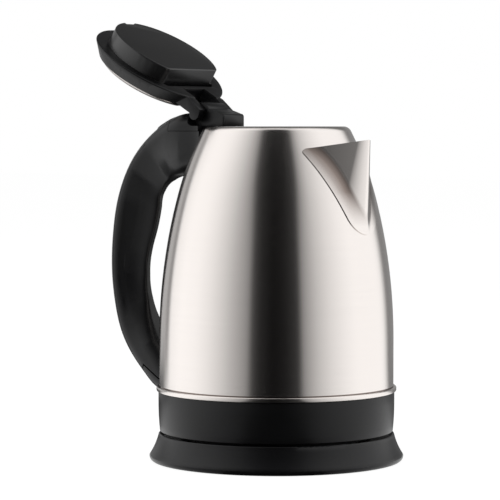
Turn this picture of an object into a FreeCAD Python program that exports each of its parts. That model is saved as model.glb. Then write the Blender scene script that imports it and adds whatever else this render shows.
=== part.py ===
import FreeCAD, Part
import math
import os
from functools import lru_cache
from FreeCAD import Vector

# Electric kettle on its power base, lid thrown open. Millimetres.
# The origin lies on the table under the jug's axis. +X points to the spout, -X to the handle, +Z up.

# Clearances
FIT_GAP = 0.1            # between fixed pieces of one assembly
PART_GAP = 0.3           # seam between two visible mouldings
RUN_GAP = 0.05           # radial play of a pin in a moving bore
MOVE_GAP = 0.5           # room around a moving piece

# Power base
BASE_R = 77.5            # skirt at its widest
BASE_WIDE_Z = 3.6        # height of the widest point
BASE_TUCK = 1.7          # how far the skirt rounds in under the widest point
BASE_TUCK_SAG = 0.55     # roundness of that tuck
BASE_TOP_R = 72.0        # outer edge at the top of the skirt
BASE_TOP_Z = 17.0        # top of the skirt
BASE_FLARE_SAG = 0.6     # hollow of the flared skirt
BASE_WALL = 2.6
BASE_LIP = 1.8           # thickness of the rounded top edge
DISH_Z = 14.2            # dish that the kettle stands on
DISH_PLATE = 2.2
FLOOR_Z = 0.5            # underside of the floor plate
FLOOR_PLATE = 2.0
FOOT_R_IN = 58.0
FOOT_R_OUT = 66.0
FOOT_SEAT = 0.8          # how deep the rubber foot sits in the floor
CORD_HOLE_R = 3.8
CORD_HOLE_Z = 7.4
CORD_HOLE_DEPTH = 18.0   # drilled from outside the skirt

# Screws
SCREW_R = 1.2
SCREW_HEAD_R = 2.6
SCREW_HEAD = 1.4
BOSS_WALL = 2.2
BASE_SCREW_CIRCLE = 46.0
BASE_SCREW_LENGTH = 8.0
BASE_SCREW_COUNT = 3
COVER_SCREW_CIRCLE = 63.0
COVER_SCREW_LENGTH = 10.0
COVER_SCREW_COUNT = 3

# Round connector
PLUG_R = 13.0
PLUG_Z = 24.0            # shoulder of the connector post
PLUG_NECK_R = 8.0
PLUG_NECK_Z = 29.0
PLUG_FLANGE_R = 22.0
PLUG_FLANGE = 2.0
PLUG_COLLAR = 2.0        # wall of the collar that holds the plug up
CONTACT_DEPTH = 1.0
CONTACT_HEIGHT = 3.0
CONTACT_Z = 17.0         # lower ring contact
CONTACT_NECK_Z = 25.2    # upper ring contact
EARTH_PIN_R = 1.5
EARTH_PIN_Z = 31.5
EARTH_PIN_CHAMFER = 0.75
SOCKET_R = 18.0
SOCKET_GAP = 0.9         # radial room around the connector post
SOCKET_Z = 15.0
SOCKET_TOP = 1.6         # roof over the earth pin
SOCKET_CONTACT_GAP = 0.5
SOCKET_CONTACT_INSET = 0.75  # narrower than the ring it wipes, at each edge

# Lower band and bottom cover of the kettle
BAND_Z = 18.5
BAND_BOTTOM_R = 71.1
BAND_R = 72.0
BAND_SWELL_Z = 36.0      # the band is upright above this height
BAND_SAG = 0.25
BAND_TOP_Z = 42.5
BAND_WALL = 2.4
LEDGE_R = 57.0           # inner edge of the ledge under the steel wall
LEDGE_PLATE = 2.0
COVER_PLATE = 2.2
COVER_RIB_R = 54.0
COVER_RIB_WALL = 3.0
COVER_RIB_GAP = 0.2      # rib to dish
COVER_COLLAR_WALL = 2.0
COVER_COLLAR_Z = 32.0

# Steel jug
WALL = 0.8
WALL_R = 71.4
BELLY_Z = 74.0           # the wall starts to lean in here
BELLY_ARC_R = 345.0
SHOULDER_Z = 160.0       # the lean tightens here
SHOULDER_ARC_R = 205.0
RIM_ARC_R = 5.0
RIM_Z = 203.5
MOUTH_R = 38.8
MOUTH_LIP = 5.0          # depth of the turned-down edge of the mouth
HEM_R = 73.2             # bead around the foot of the wall
HEM_Z = 42.7
HEM_HEIGHT = 2.9
HEM_ROUND = 0.9
HEM_RUNOUT = 1.4
POUR_HOLE_R = 2.2
POUR_HOLE_PITCH = 6.4
POUR_HOLE_ROWS = 6
POUR_HOLE_Z = 150.0      # lowest row
POUR_HOLE_DRILL = 6.0    # drilled this far to each side of the wall
POUR_HOLE_MARGIN = 11.0  # from the flange's seam to the outermost hole
STEAM_HOLE_R = 2.0

# Heater
PLATE_Z = 46.0
PLATE_THICK = 0.8
PLATE_FLANGE = 2.6
DISC_R = 52.0
DISC_THICK = 3.5
ELEMENT_CIRCLE = 42.0
ELEMENT_R = 3.3
ELEMENT_ARC = 300.0
ELEMENT_PIN_R = 1.8
ELEMENT_PIN_Z = 27.0
THERMOSTAT_R = 26.0
THERMOSTAT_FLAT = 21.0   # half width over the flats
SNAP_DISC_R = 6.0
SNAP_DISC_THICK = 0.6
SNAP_DISC_SEAT = 1.2     # depth of its recess
SNAP_DISC_X = 13.0

# Spout
SPOUT_WALL = 0.8
SPOUT_LOW_Z = 140.0      # lower loft station, hidden inside the wall
SPOUT_LOW_X = 63.5       # nose of the fold there
SPOUT_HIGH_Z = 198.0     # upper loft station, above the trimmed edge
SPOUT_HIGH_X = 67.6
SPOUT_NOSE_R = 5.5       # rounding of the fold
SPOUT_FACE_TURN = 45.5   # degrees that each flat of the V looks away from straight ahead
SPOUT_FACE = 44.0        # length of the flats before the jug trims them
SPOUT_TIP_Z = 195.2      # trimmed top edge at the tip
SPOUT_TIP_X = 67.4
SPOUT_TOP_SLOPE = 12.5   # degrees that the top edge falls towards the jug
FLANGE_THICK = 0.8
SEAM_TOP_HALF = 32.0
SEAM_TOP_Z = 190.0
SEAM_LEAN = 21.9         # degrees from upright
SEAM_BOTTOM_Z = 138.3

# Handle: x, z, direction of the outer face in degrees, half thickness, half width, corner radius
HANDLE_STATIONS = [
    (-44.0, 195.2, 90.0, 18.2, 20.0, 9.0),
    (-60.0, 194.0, 92.0, 17.3, 20.0, 9.0),
    (-73.9, 190.3, 98.0, 15.7, 18.0, 9.0),
    (-86.2, 184.6, 116.0, 13.1, 15.0, 9.0),
    (-97.6, 173.3, 138.0, 11.9, 13.4, 9.0),
    (-104.5, 157.1, 166.0, 12.6, 13.0, 9.5),
    (-108.3, 139.6, 176.0, 12.5, 13.0, 9.5),
    (-110.9, 124.5, 180.0, 11.0, 13.0, 9.0),
    (-111.5, 110.0, 181.0, 10.3, 13.0, 9.0),
    (-109.1, 92.8, 187.0, 10.4, 13.0, 9.0),
    (-103.6, 77.4, 197.0, 11.0, 13.5, 9.0),
    (-94.9, 64.5, 209.0, 11.3, 14.0, 9.0),
    (-85.3, 53.6, 222.0, 10.6, 14.5, 9.0),
    (-71.6, 45.6, 240.0, 9.7, 15.0, 9.0),
]
HANDLE_WALL = 2.2
BACK_DEPTH = 4.5         # depth of the back strip
BACK_FIRST = 3           # stations between which the back strip runs
BACK_LAST = 12
HANDLE_REACH = 40.0      # half width of the cutting prisms

# Hinge housing on top of the handle
HOUSING_Z = 200.8        # seam to the handle
HOUSING_BACK_X = -68.0
TONGUE_HALF = 10.25
TONGUE_FRONT_X = -31.5
TONGUE_FRONT_Z = 209.3
TONGUE_NOSE = 2.0        # rounding of the front top edge
TONGUE_CROWN = 0.4       # swell of the top between the nose and the barrel
TONGUE_BACK_X = -58.0
TONGUE_LIFT = 0.3        # above the rim
BARREL_R = 4.7
HUMP_R = 7.2             # hump over the pin, which closes the view between the lid arms
POCKET_Z = 203.8         # floor of the pockets for the lid arms

# Lid, given in its closed place and swung open about the hinge
HINGE_X = -49.6
HINGE_Z = 211.0
LID_OPEN = 149.0
LID_LIFT = 0.5           # closed lid above the rim
LID_R = 43.3
LID_TOP_R = 37.8         # the band tapers in to this radius
LID_BAND = 8.9
LID_WALL = 2.2
LID_TOP_WALL = 2.0
LID_EDGE_ROUND = 0.9
LID_EAR_X = -27.5        # front of the solid ears that carry the arms
LID_DOME = 0.8
LID_PLATE_R = 35.8
LID_PLATE_STEP = 1.0     # upright edge of the steel plate above the band
LID_PLATE_EDGE = 3.5     # top of its sloping shoulder above the band
LID_PLATE_SHOULDER = 4.6  # width of the shoulder
LID_PLATE_SAG = 0.5      # roundness of the shoulder
LID_PLATE_THICK = 0.9
LID_PLATE_SEAT = 1.0     # recess for the steel plate
SLOT_GAP = 0.95          # tongue to arm
SLOT_FRONT_GAP = 1.2
ARM_THICK = 6.2
ARM_LIFT = 0.6           # arm above the lid's underside
ARM_RISE = 8.0           # top of the arm above the lid's underside
ARM_HEEL = 2.5           # underside of the arm runs on past the hinge
ARM_HEEL_RISE = 1.8
KNUCKLE_R = 3.5
PIN_R = 1.5
PIN_CAP = 1.6            # arm left over each end of the hinge pin
CUP_R = 34.9
CUP_FLAT_X = -24.0
CUP_CORNER_R = 5.0
CUP_DEPTH = 10.2
CUP_WALL = 2.0
CUP_EDGE = 0.8
CUP_NOTCH_HALF = 5.25
CUP_NOTCH = 2.4          # depth of the notch in from the cup's edge
CUP_NOTCH_DROP = 1.4     # and down from its face
LID_SCREW_CIRCLE = 22.0
LID_SCREW_ANGLES = (0.0, 100.0, -100.0)
LID_SCREW_LENGTH = 9.0

# Lid spring on the hinge pin
LID_COIL_R = 2.6
LID_WIRE_R = 0.45
LID_COIL_PITCH = 1.4
LID_COIL_TURNS = 4
LID_COIL_Y = 3.6
LID_COIL_ROOM = 0.5

# Release button and lever
BUTTON_X = -77.0
BUTTON_R = 6.5
BUTTON_LENGTH = 6.0      # straight part between its round ends
BUTTON_PROUD = 2.0
BUTTON_SKIRT = 4.0
STEM_R = 2.0
SHELF_Z = 192.0          # shelf under the button spring
SHELF_PLATE = 1.6
SHELF_HALF = 8.0         # half length of the shelf along the handle
BUTTON_COIL_R = 3.6
BUTTON_WIRE_R = 0.4
BUTTON_COIL_TURNS = 4
LEVER_PIVOT_X = -62.0
LEVER_PIVOT_Z = 191.0
LEVER_HUB_R = 3.0
LEVER_BAR = 2.5
LEVER_BAR_HALF = 4.0
LEVER_TAIL = 18.0        # from the pivot back under the button
LEVER_PLATE_HALF = 13.0
LEVER_TOP_Z = 205.0
LEVER_NIB = 1.6
LEVER_ROOM = 3.2         # room for the lever to swing back

# Switch at the foot of the handle
SEAM_X = -91.4           # upper end of the paddle's seam
SEAM_Z = 53.7
SEAM_FALL = 32.4         # degrees that the seam falls towards the jug
PADDLE_GAP = 0.9
PADDLE_BODY_GAP = 1.5
PADDLE_WALL = 2.2
PADDLE_PIVOT_ALONG = 15.0
PADDLE_PIVOT_BELOW = 3.0
PADDLE_HUB_R = 2.7
SWITCH_PIN_R = 1.2
SWITCH_PIN_HALF = 11.0
LUG_IN = 4.6
LUG_OUT = 7.4
LUG_TOP = 3.0
SWITCH_BACK = 10.0       # switch block along the seam, behind and ahead of its upper end
SWITCH_FRONT = 2.0
SWITCH_HEIGHT = 13.0

# Steam tube along the handle
TUBE_R = 3.0
TUBE_BORE_R = 2.0
TUBE_Y = 8.8
TUBE_Z = 184.0
TUBE_ROUTE = [(-80.0, TUBE_Y, TUBE_Z), (-98.0, 0.0, 170.0), (-107.5, 0.0, 140.0),
              (-110.5, 0.0, 112.0), (-107.5, 0.0, 90.0), (-101.0, 0.0, 79.0)]
TUBE_BEND_R = 22.0
TUBE_END = 8.0           # where it ends on the switch block, behind the seam's upper end

# Handle fixing
BRACKET_THICK = 1.5
UPPER_BRACKET_Z = 183.5
LOWER_BRACKET_Z = 49.8
BRACKET_HALF_Y = 4.2
BRACKET_HALF_Z = 2.3
BRACKET_BOSS_R = 2.1
UPPER_WEB_X = -68.0
LOWER_WEB_X = -80.0
WEB_THICK = 2.0
UPPER_WEB_ABOVE = 2.4
UPPER_WEB_BELOW = 7.2
LOWER_WEB_ABOVE = 13.0
LOWER_WEB_BELOW = 1.8
THREAD_STOP = 2.2        # from the end of the thread to the wall

X_AXIS = Vector(1, 0, 0)
Y_AXIS = Vector(0, 1, 0)
Z_AXIS = Vector(0, 0, 1)
ORIGIN = Vector(0, 0, 0)
QUARTER_SAG = 1 - math.sqrt(0.5)     # of a quarter circle of radius 1


# Small shape builders

def at(x, z, y=0.0):
    return Vector(x, y, z)


def line(start, end):
    return Part.LineSegment(start, end).toShape()


def sagged_arc(start, end, sag):
    """Arc in the XZ plane whose middle stands sag to the left of the chord."""
    chord = end.sub(start)
    left = Vector(-chord.z, 0, chord.x).normalize()
    middle = start.add(end).multiply(0.5).add(left.multiply(sag))
    return Part.Arc(start, middle, end).toShape()


def arc_about(centre, radius, first, last):
    """Arc in the XZ plane about a centre, between two angles in degrees."""
    def on_arc(angle):
        turn = math.radians(angle)
        return at(centre.x + radius * math.cos(turn), centre.z + radius * math.sin(turn))
    return Part.Arc(on_arc(first), on_arc((first + last) / 2), on_arc(last)).toShape()


def turned(edges):
    """Solid of revolution about the Z axis from edges in the XZ plane."""
    return Part.Face(Part.Wire(edges)).revolve(ORIGIN, Z_AXIS, 360)


def disc(radius, low, high, x=0.0, y=0.0):
    return Part.makeCylinder(radius, high - low, Vector(x, y, low))


def ring(outer, inner, low, high):
    return disc(outer, low, high).cut(disc(inner, low - 1, high + 1))


def block(x_low, x_high, y_low, y_high, z_low, z_high):
    return Part.makeBox(x_high - x_low, y_high - y_low, z_high - z_low, Vector(x_low, y_low, z_low))


def bar_across(x, z, radius, y_low, y_high):
    """Round bar along Y."""
    return Part.makeCylinder(radius, y_high - y_low, Vector(x, y_low, z), Y_AXIS)


def both_sides(make, y_low, y_high):
    """The same shape on the near and on the far side."""
    return make(y_low, y_high).fuse(make(-y_high, -y_low))


def prism(points, half_width):
    """Straight-sided XZ outline carried across the handle."""
    corners = [at(x, z, -half_width) for x, z in points]
    outline = Part.makePolygon(corners + corners[:1])
    return Part.Face(outline).extrude(Vector(0, 2 * half_width, 0))


def around(count, circle, start=0.0):
    """Places evenly round a circle."""
    turns = [math.radians(start + 360.0 * i / count) for i in range(count)]
    return [(circle * math.cos(turn), circle * math.sin(turn)) for turn in turns]


def screw_up(x, y, head_z, length):
    """Screw with its head below, driven upwards."""
    head = disc(SCREW_HEAD_R, head_z, head_z + SCREW_HEAD, x, y)
    return head.fuse(disc(SCREW_R, head_z, head_z + SCREW_HEAD + length, x, y))


def only(solids):
    """Several separate solids kept together as one group."""
    return Part.makeCompound(solids)


# Power base

def base_screw_places():
    return around(BASE_SCREW_COUNT, BASE_SCREW_CIRCLE, 60.0)


def base_shell():
    plate_low = DISH_Z - DISH_PLATE
    lip_r = BASE_TOP_R - BASE_LIP
    lip_z = BASE_TOP_Z - BASE_LIP / 2
    outer_foot = at(BASE_R - BASE_TUCK, FLOOR_Z)
    widest = at(BASE_R, BASE_WIDE_Z)
    top_outer = at(BASE_TOP_R, lip_z)
    top_inner = at(lip_r, lip_z)
    dish_edge = at(lip_r, DISH_Z)
    hole_r = PLUG_R + FIT_GAP
    inner_top = at(BASE_TOP_R - BASE_WALL, plate_low)
    inner_foot = at(BASE_R - BASE_WALL, FLOOR_Z)
    edges = [
        sagged_arc(outer_foot, widest, -BASE_TUCK_SAG),
        sagged_arc(widest, top_outer, BASE_FLARE_SAG),
        sagged_arc(top_outer, top_inner, -BASE_LIP / 2),
        line(top_inner, dish_edge),
        line(dish_edge, at(hole_r, DISH_Z)),
        line(at(hole_r, DISH_Z), at(hole_r, plate_low)),
        line(at(hole_r, plate_low), inner_top),
        line(inner_top, at(BASE_R - BASE_WALL, BASE_WIDE_Z)),
        line(at(BASE_R - BASE_WALL, BASE_WIDE_Z), inner_foot),
        line(inner_foot, outer_foot),
    ]
    shell = turned(edges)
    boss_low = FLOOR_Z + FLOOR_PLATE
    for x, y in base_screw_places():
        shell = shell.fuse(disc(SCREW_R + BOSS_WALL, boss_low, plate_low, x, y))
        pilot_top = boss_low + BASE_SCREW_LENGTH
        shell = shell.cut(disc(SCREW_R + FIT_GAP, boss_low, pilot_top, x, y))
    cord_hole = Part.makeCylinder(CORD_HOLE_R, CORD_HOLE_DEPTH, at(-BASE_R - 1, CORD_HOLE_Z), X_AXIS)
    return shell.cut(cord_hole)


def base_floor():
    top = FLOOR_Z + FLOOR_PLATE
    plate = disc(BASE_R - BASE_WALL - FIT_GAP, FLOOR_Z, top)
    plate = plate.cut(ring(FOOT_R_OUT, FOOT_R_IN, FLOOR_Z - 1, FLOOR_Z + FOOT_SEAT))
    flange_low = DISH_Z - DISH_PLATE - PLUG_FLANGE
    plate = plate.fuse(ring(PLUG_FLANGE_R, PLUG_FLANGE_R - PLUG_COLLAR, top, flange_low))
    for x, y in base_screw_places():
        plate = plate.cut(disc(SCREW_R + FIT_GAP, 0, top + 1, x, y))
        plate = plate.cut(disc(SCREW_HEAD_R + FIT_GAP, 0, FLOOR_Z + SCREW_HEAD, x, y))
    return plate


def foot_ring():
    return ring(FOOT_R_OUT - FIT_GAP, FOOT_R_IN + FIT_GAP, 0.0, FLOOR_Z + FOOT_SEAT)


def base_screws():
    return only([screw_up(x, y, FLOOR_Z, BASE_SCREW_LENGTH) for x, y in base_screw_places()])


def contact_rings(gap):
    """Ring contacts let into the connector post, grown by a gap."""
    rings = []
    for radius, low in ((PLUG_R, CONTACT_Z), (PLUG_NECK_R, CONTACT_NECK_Z)):
        high = low + CONTACT_HEIGHT
        rings.append(ring(radius + gap, radius - CONTACT_DEPTH - gap, low - gap, high + gap))
    return rings


def base_plug():
    flange_top = DISH_Z - DISH_PLATE
    plug = disc(PLUG_FLANGE_R, flange_top - PLUG_FLANGE, flange_top)
    plug = plug.fuse(disc(PLUG_R, flange_top, PLUG_Z)).fuse(disc(PLUG_NECK_R, flange_top, PLUG_NECK_Z))
    for contact in contact_rings(RUN_GAP):
        plug = plug.cut(contact)
    return plug.cut(disc(EARTH_PIN_R + RUN_GAP, PLUG_Z, PLUG_NECK_Z + 1))


def base_contacts():
    shoulder_z = EARTH_PIN_Z - EARTH_PIN_CHAMFER
    earth_pin = disc(EARTH_PIN_R, PLUG_Z, shoulder_z)
    tip = Part.makeCone(EARTH_PIN_R, EARTH_PIN_R - EARTH_PIN_CHAMFER, EARTH_PIN_CHAMFER, at(0, shoulder_z))
    return only(contact_rings(0.0) + [earth_pin.fuse(tip)])


# Coupler under the kettle

def socket_top_z():
    return EARTH_PIN_Z + SOCKET_GAP + SOCKET_TOP


def socket_contact_rings(gap):
    bands = []
    for radius, low in ((PLUG_R, CONTACT_Z), (PLUG_NECK_R, CONTACT_NECK_Z)):
        inner = radius + SOCKET_CONTACT_GAP
        outer = radius + SOCKET_GAP + CONTACT_DEPTH
        band_low = low + SOCKET_CONTACT_INSET
        band_high = low + CONTACT_HEIGHT - SOCKET_CONTACT_INSET
        bands.append(ring(outer + gap, inner, band_low - gap, band_high + gap))
    return bands


def kettle_socket():
    socket = disc(SOCKET_R, SOCKET_Z, socket_top_z())
    socket = socket.cut(disc(PLUG_R + SOCKET_GAP, SOCKET_Z - 1, PLUG_Z + SOCKET_GAP))
    socket = socket.cut(disc(PLUG_NECK_R + SOCKET_GAP, SOCKET_Z, PLUG_NECK_Z + SOCKET_GAP))
    socket = socket.cut(disc(EARTH_PIN_R + SOCKET_GAP, SOCKET_Z, EARTH_PIN_Z + SOCKET_GAP))
    for band in socket_contact_rings(RUN_GAP):
        socket = socket.cut(band)
    return socket


def socket_contacts():
    return only(socket_contact_rings(0.0))


# Lower band and bottom cover

def cover_screw_places():
    return around(COVER_SCREW_COUNT, COVER_SCREW_CIRCLE, 60.0)


def band_fill(grow):
    """Filled outer form of the band, grown by a gap."""
    low = at(BAND_BOTTOM_R + grow, BAND_Z)
    swell = at(BAND_R + grow, BAND_SWELL_Z)
    high = at(BAND_R + grow, BAND_TOP_Z + grow)
    top = at(0, BAND_TOP_Z + grow)
    return turned([sagged_arc(low, swell, -BAND_SAG), line(swell, high), line(high, top),
                   line(top, at(0, BAND_Z)), line(at(0, BAND_Z), low)])


def lower_band():
    ledge_low = BAND_TOP_Z - LEDGE_PLATE
    bore = BAND_BOTTOM_R - BAND_WALL
    band = band_fill(0.0).cut(disc(bore, BAND_Z - 1, ledge_low)).cut(disc(LEDGE_R, BAND_Z, BAND_TOP_Z + 1))
    boss_low = BAND_Z + COVER_PLATE + FIT_GAP
    for x, y in cover_screw_places():
        band = band.fuse(disc(SCREW_R + BOSS_WALL, boss_low, ledge_low, x, y))
        pilot_top = boss_low + COVER_SCREW_LENGTH
        band = band.cut(disc(SCREW_R + FIT_GAP, boss_low, pilot_top, x, y))
    return band


def bottom_cover():
    top = BAND_Z + COVER_PLATE
    hole_r = SOCKET_R + MOVE_GAP
    plate = disc(BAND_BOTTOM_R - BAND_WALL - FIT_GAP, BAND_Z, top)
    plate = plate.fuse(ring(COVER_RIB_R + COVER_RIB_WALL, COVER_RIB_R, DISH_Z + COVER_RIB_GAP, BAND_Z))
    plate = plate.fuse(disc(hole_r + COVER_COLLAR_WALL, top, COVER_COLLAR_Z))
    plate = plate.cut(disc(hole_r, DISH_Z, COVER_COLLAR_Z + 1))
    for x, y in cover_screw_places():
        plate = plate.cut(disc(SCREW_R + FIT_GAP, DISH_Z, top + 1, x, y))
        plate = plate.cut(disc(SCREW_HEAD_R + FIT_GAP, DISH_Z, BAND_Z + SCREW_HEAD, x, y))
    return plate


def bottom_screws():
    return only([screw_up(x, y, BAND_Z, COVER_SCREW_LENGTH) for x, y in cover_screw_places()])


# Steel jug

BELLY_CENTRE = at(WALL_R - BELLY_ARC_R, BELLY_Z)
SHOULDER_TURN = math.asin((SHOULDER_Z - BELLY_Z) / BELLY_ARC_R)
SHOULDER_CENTRE = at(BELLY_CENTRE.x + (BELLY_ARC_R - SHOULDER_ARC_R) * math.cos(SHOULDER_TURN),
                     BELLY_CENTRE.z + (BELLY_ARC_R - SHOULDER_ARC_R) * math.sin(SHOULDER_TURN))
RIM_TURN = math.asin((RIM_Z - RIM_ARC_R - SHOULDER_CENTRE.z) / (SHOULDER_ARC_R - RIM_ARC_R))
RIM_CENTRE = at(SHOULDER_CENTRE.x + (SHOULDER_ARC_R - RIM_ARC_R) * math.cos(RIM_TURN), RIM_Z - RIM_ARC_R)


def jug_fill(grow):
    """Filled jug with its wall moved out by grow."""
    shoulder = math.degrees(SHOULDER_TURN)
    rim = math.degrees(RIM_TURN)
    belly_arc = arc_about(BELLY_CENTRE, BELLY_ARC_R + grow, 0, shoulder)
    shoulder_arc = arc_about(SHOULDER_CENTRE, SHOULDER_ARC_R + grow, shoulder, rim)
    rim_arc = arc_about(RIM_CENTRE, RIM_ARC_R + grow, rim, 90)
    foot = at(WALL_R + grow, HEM_Z)
    top = at(0, RIM_Z + grow)
    return turned([
        line(at(0, HEM_Z), foot),
        line(foot, at(WALL_R + grow, BELLY_Z)),
        belly_arc, shoulder_arc, rim_arc,
        line(at(RIM_CENTRE.x, RIM_Z + grow), top),
        line(top, at(0, HEM_Z)),
    ])


def wall_radius(z, grow=0.0):
    """Outer radius of the jug at a height below the rim's rounding."""
    if z <= BELLY_Z:
        return WALL_R + grow
    if z <= SHOULDER_Z:
        return BELLY_CENTRE.x + math.sqrt((BELLY_ARC_R + grow) ** 2 - (z - BELLY_CENTRE.z) ** 2)
    return SHOULDER_CENTRE.x + math.sqrt((SHOULDER_ARC_R + grow) ** 2 - (z - SHOULDER_CENTRE.z) ** 2)


def hem_fill(grow):
    """Bead at the foot of the wall, filled to the axis and grown by a gap."""
    high = HEM_Z + HEM_HEIGHT
    outer = HEM_R + grow
    low = HEM_Z - grow
    top = high + HEM_RUNOUT + grow
    return turned([
        line(at(0, low), at(outer - HEM_ROUND, low)),
        sagged_arc(at(outer - HEM_ROUND, low), at(outer, low + HEM_ROUND), -HEM_ROUND * QUARTER_SAG),
        line(at(outer, low + HEM_ROUND), at(outer, high - HEM_ROUND)),
        line(at(outer, high - HEM_ROUND), at(WALL_R, top)),
        line(at(WALL_R, top), at(0, top)),
        line(at(0, top), at(0, low)),
    ])


@lru_cache(None)
def jug_envelope(gap):
    """Everything that the handle and spout have to stay off."""
    return jug_fill(gap).fuse(hem_fill(gap)).fuse(band_fill(gap))


def seam_half(z):
    """Half width of the spout's flange at a height, on its straight sides."""
    return SEAM_TOP_HALF - (SEAM_TOP_Z - z) * math.tan(math.radians(SEAM_LEAN))


def pour_holes():
    """Staggered rows of holes through the wall behind the spout."""
    holes = []
    row_step = POUR_HOLE_PITCH * math.sqrt(3) / 2
    for row in range(POUR_HOLE_ROWS):
        z = POUR_HOLE_Z + row * row_step
        room = seam_half(z) - POUR_HOLE_MARGIN
        offset = 0.5 * (row % 2)
        steps = max(0, int(room / POUR_HOLE_PITCH + offset))
        for step in range(-steps, steps + 1 - (row % 2)):
            y = (step + offset) * POUR_HOLE_PITCH
            turn = math.asin(y / wall_radius(z))
            direction = Vector(math.cos(turn), math.sin(turn), 0)
            start = direction * (wall_radius(z) - POUR_HOLE_DRILL) + at(0, z)
            holes.append(Part.makeCylinder(POUR_HOLE_R, 2 * POUR_HOLE_DRILL, start, direction))
    return holes


def steel_body():
    wall = jug_fill(0.0).fuse(hem_fill(0.0))
    wall = wall.cut(jug_fill(-WALL)).cut(disc(WALL_R - WALL, HEM_Z - 1, HEM_Z + HEM_HEIGHT + HEM_RUNOUT))
    wall = wall.cut(disc(MOUTH_R, RIM_Z - MOUTH_LIP, RIM_Z + 1))
    wall = wall.fuse(ring(MOUTH_R + WALL, MOUTH_R, RIM_Z - MOUTH_LIP, RIM_Z))
    for hole in pour_holes():
        wall = wall.cut(hole)
    steam_hole = Part.makeCylinder(STEAM_HOLE_R, HANDLE_REACH, Vector(-WALL_R, TUBE_Y, TUBE_Z), X_AXIS)
    return wall.cut(steam_hole)


# Heater under the water

def heater_plate():
    radius = WALL_R - WALL - FIT_GAP
    flange = ring(radius, radius - PLATE_THICK, PLATE_Z - PLATE_FLANGE, PLATE_Z)
    return disc(radius, PLATE_Z, PLATE_Z + PLATE_THICK).fuse(flange)


def heater_disc():
    return disc(DISC_R, PLATE_Z - FIT_GAP - DISC_THICK, PLATE_Z - FIT_GAP)


def heating_element():
    centre_z = PLATE_Z - 2 * FIT_GAP - DISC_THICK - ELEMENT_R
    section = Part.Face(Part.Wire(Part.makeCircle(ELEMENT_R, at(ELEMENT_CIRCLE, centre_z), Y_AXIS)))
    tube = section.revolve(ORIGIN, Z_AXIS, ELEMENT_ARC)
    inset = math.degrees(ELEMENT_R / ELEMENT_CIRCLE)
    for angle in (inset, ELEMENT_ARC - inset):
        turn = math.radians(angle)
        x = ELEMENT_CIRCLE * math.cos(turn)
        y = ELEMENT_CIRCLE * math.sin(turn)
        tube = tube.fuse(disc(ELEMENT_PIN_R, ELEMENT_PIN_Z, centre_z, x, y))
    return tube


def thermostat_top_z():
    return PLATE_Z - 2 * FIT_GAP - DISC_THICK


def snap_disc_places():
    return ((-SNAP_DISC_X, 0.0), (SNAP_DISC_X, 0.0))


def thermostat():
    low = socket_top_z() + PART_GAP
    high = thermostat_top_z()
    body = disc(THERMOSTAT_R, low, high)
    flats = block(-THERMOSTAT_R, THERMOSTAT_R, -THERMOSTAT_FLAT, THERMOSTAT_FLAT, low, high)
    body = body.common(flats)
    for x, y in snap_disc_places():
        body = body.cut(disc(SNAP_DISC_R + FIT_GAP, high - SNAP_DISC_SEAT, high + 1, x, y))
    return body


def thermostat_discs():
    low = thermostat_top_z() - SNAP_DISC_SEAT
    return only([disc(SNAP_DISC_R, low, low + SNAP_DISC_THICK, x, y) for x, y in snap_disc_places()])


# Spout

def beak_section(z, nose_x, inset):
    """V outline with a rounded nose at one height; its open ends lie inside the jug."""
    turn = math.radians(SPOUT_FACE_TURN)
    centre_x = nose_x - SPOUT_NOSE_R
    radius = SPOUT_NOSE_R - inset
    touch_x = centre_x + radius * math.cos(turn)
    touch_y = radius * math.sin(turn)
    root_x = touch_x - SPOUT_FACE * math.sin(turn)
    root_y = touch_y + SPOUT_FACE * math.cos(turn)
    near_root = at(root_x, z, -root_y)
    far_root = at(root_x, z, root_y)
    near_touch = at(touch_x, z, -touch_y)
    far_touch = at(touch_x, z, touch_y)
    nose = Part.Arc(near_touch, at(centre_x + radius, z), far_touch).toShape()
    back = line(far_root, near_root)
    return Part.Wire([line(near_root, near_touch), nose, line(far_touch, far_root), back])


def beak(inset):
    """Beak between its low and its high station, moved in by a wall."""
    low = beak_section(SPOUT_LOW_Z, SPOUT_LOW_X, inset)
    high = beak_section(SPOUT_HIGH_Z, SPOUT_HIGH_X, inset)
    return Part.makeLoft([low, high], True, True)


def above_spout():
    """Half space above the sloping top edge."""
    size = 2 * WALL_R
    slab = block(-size, size, -size, size, 0, size)
    slab.rotate(ORIGIN, Y_AXIS, -SPOUT_TOP_SLOPE)
    slab.translate(at(SPOUT_TIP_X, SPOUT_TIP_Z))
    return slab


def seam_outline():
    """Outline of the flange seen from the front, carried along X."""
    lean = math.radians(SEAM_LEAN)
    wide = seam_half(RIM_Z)
    radius = seam_half(SEAM_BOTTOM_Z) / (1 / math.cos(lean) - math.tan(lean))
    centre_z = SEAM_BOTTOM_Z + radius
    touch_y = radius * math.cos(lean)
    touch_z = centre_z - radius * math.sin(lean)
    bottom = Part.Arc(at(0, touch_z, -touch_y), at(0, SEAM_BOTTOM_Z), at(0, touch_z, touch_y)).toShape()
    right = line(at(0, touch_z, touch_y), at(0, RIM_Z, wide))
    top = line(at(0, RIM_Z, wide), at(0, RIM_Z, -wide))
    left = line(at(0, RIM_Z, -wide), at(0, touch_z, -touch_y))
    return Part.Face(Part.Wire([bottom, right, top, left])).extrude(X_AXIS * (2 * WALL_R))


def spout():
    flange = jug_fill(RUN_GAP + FLANGE_THICK).cut(jug_fill(RUN_GAP)).common(seam_outline())
    shell = beak(0.0).cut(jug_fill(RUN_GAP)).fuse(flange).cut(beak(SPOUT_WALL))
    return largest(shell.cut(above_spout()))


def largest(shape):
    """The main solid of a cut shape."""
    return max(shape.Solids, key=lambda solid: solid.Volume)


# Handle

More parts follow.
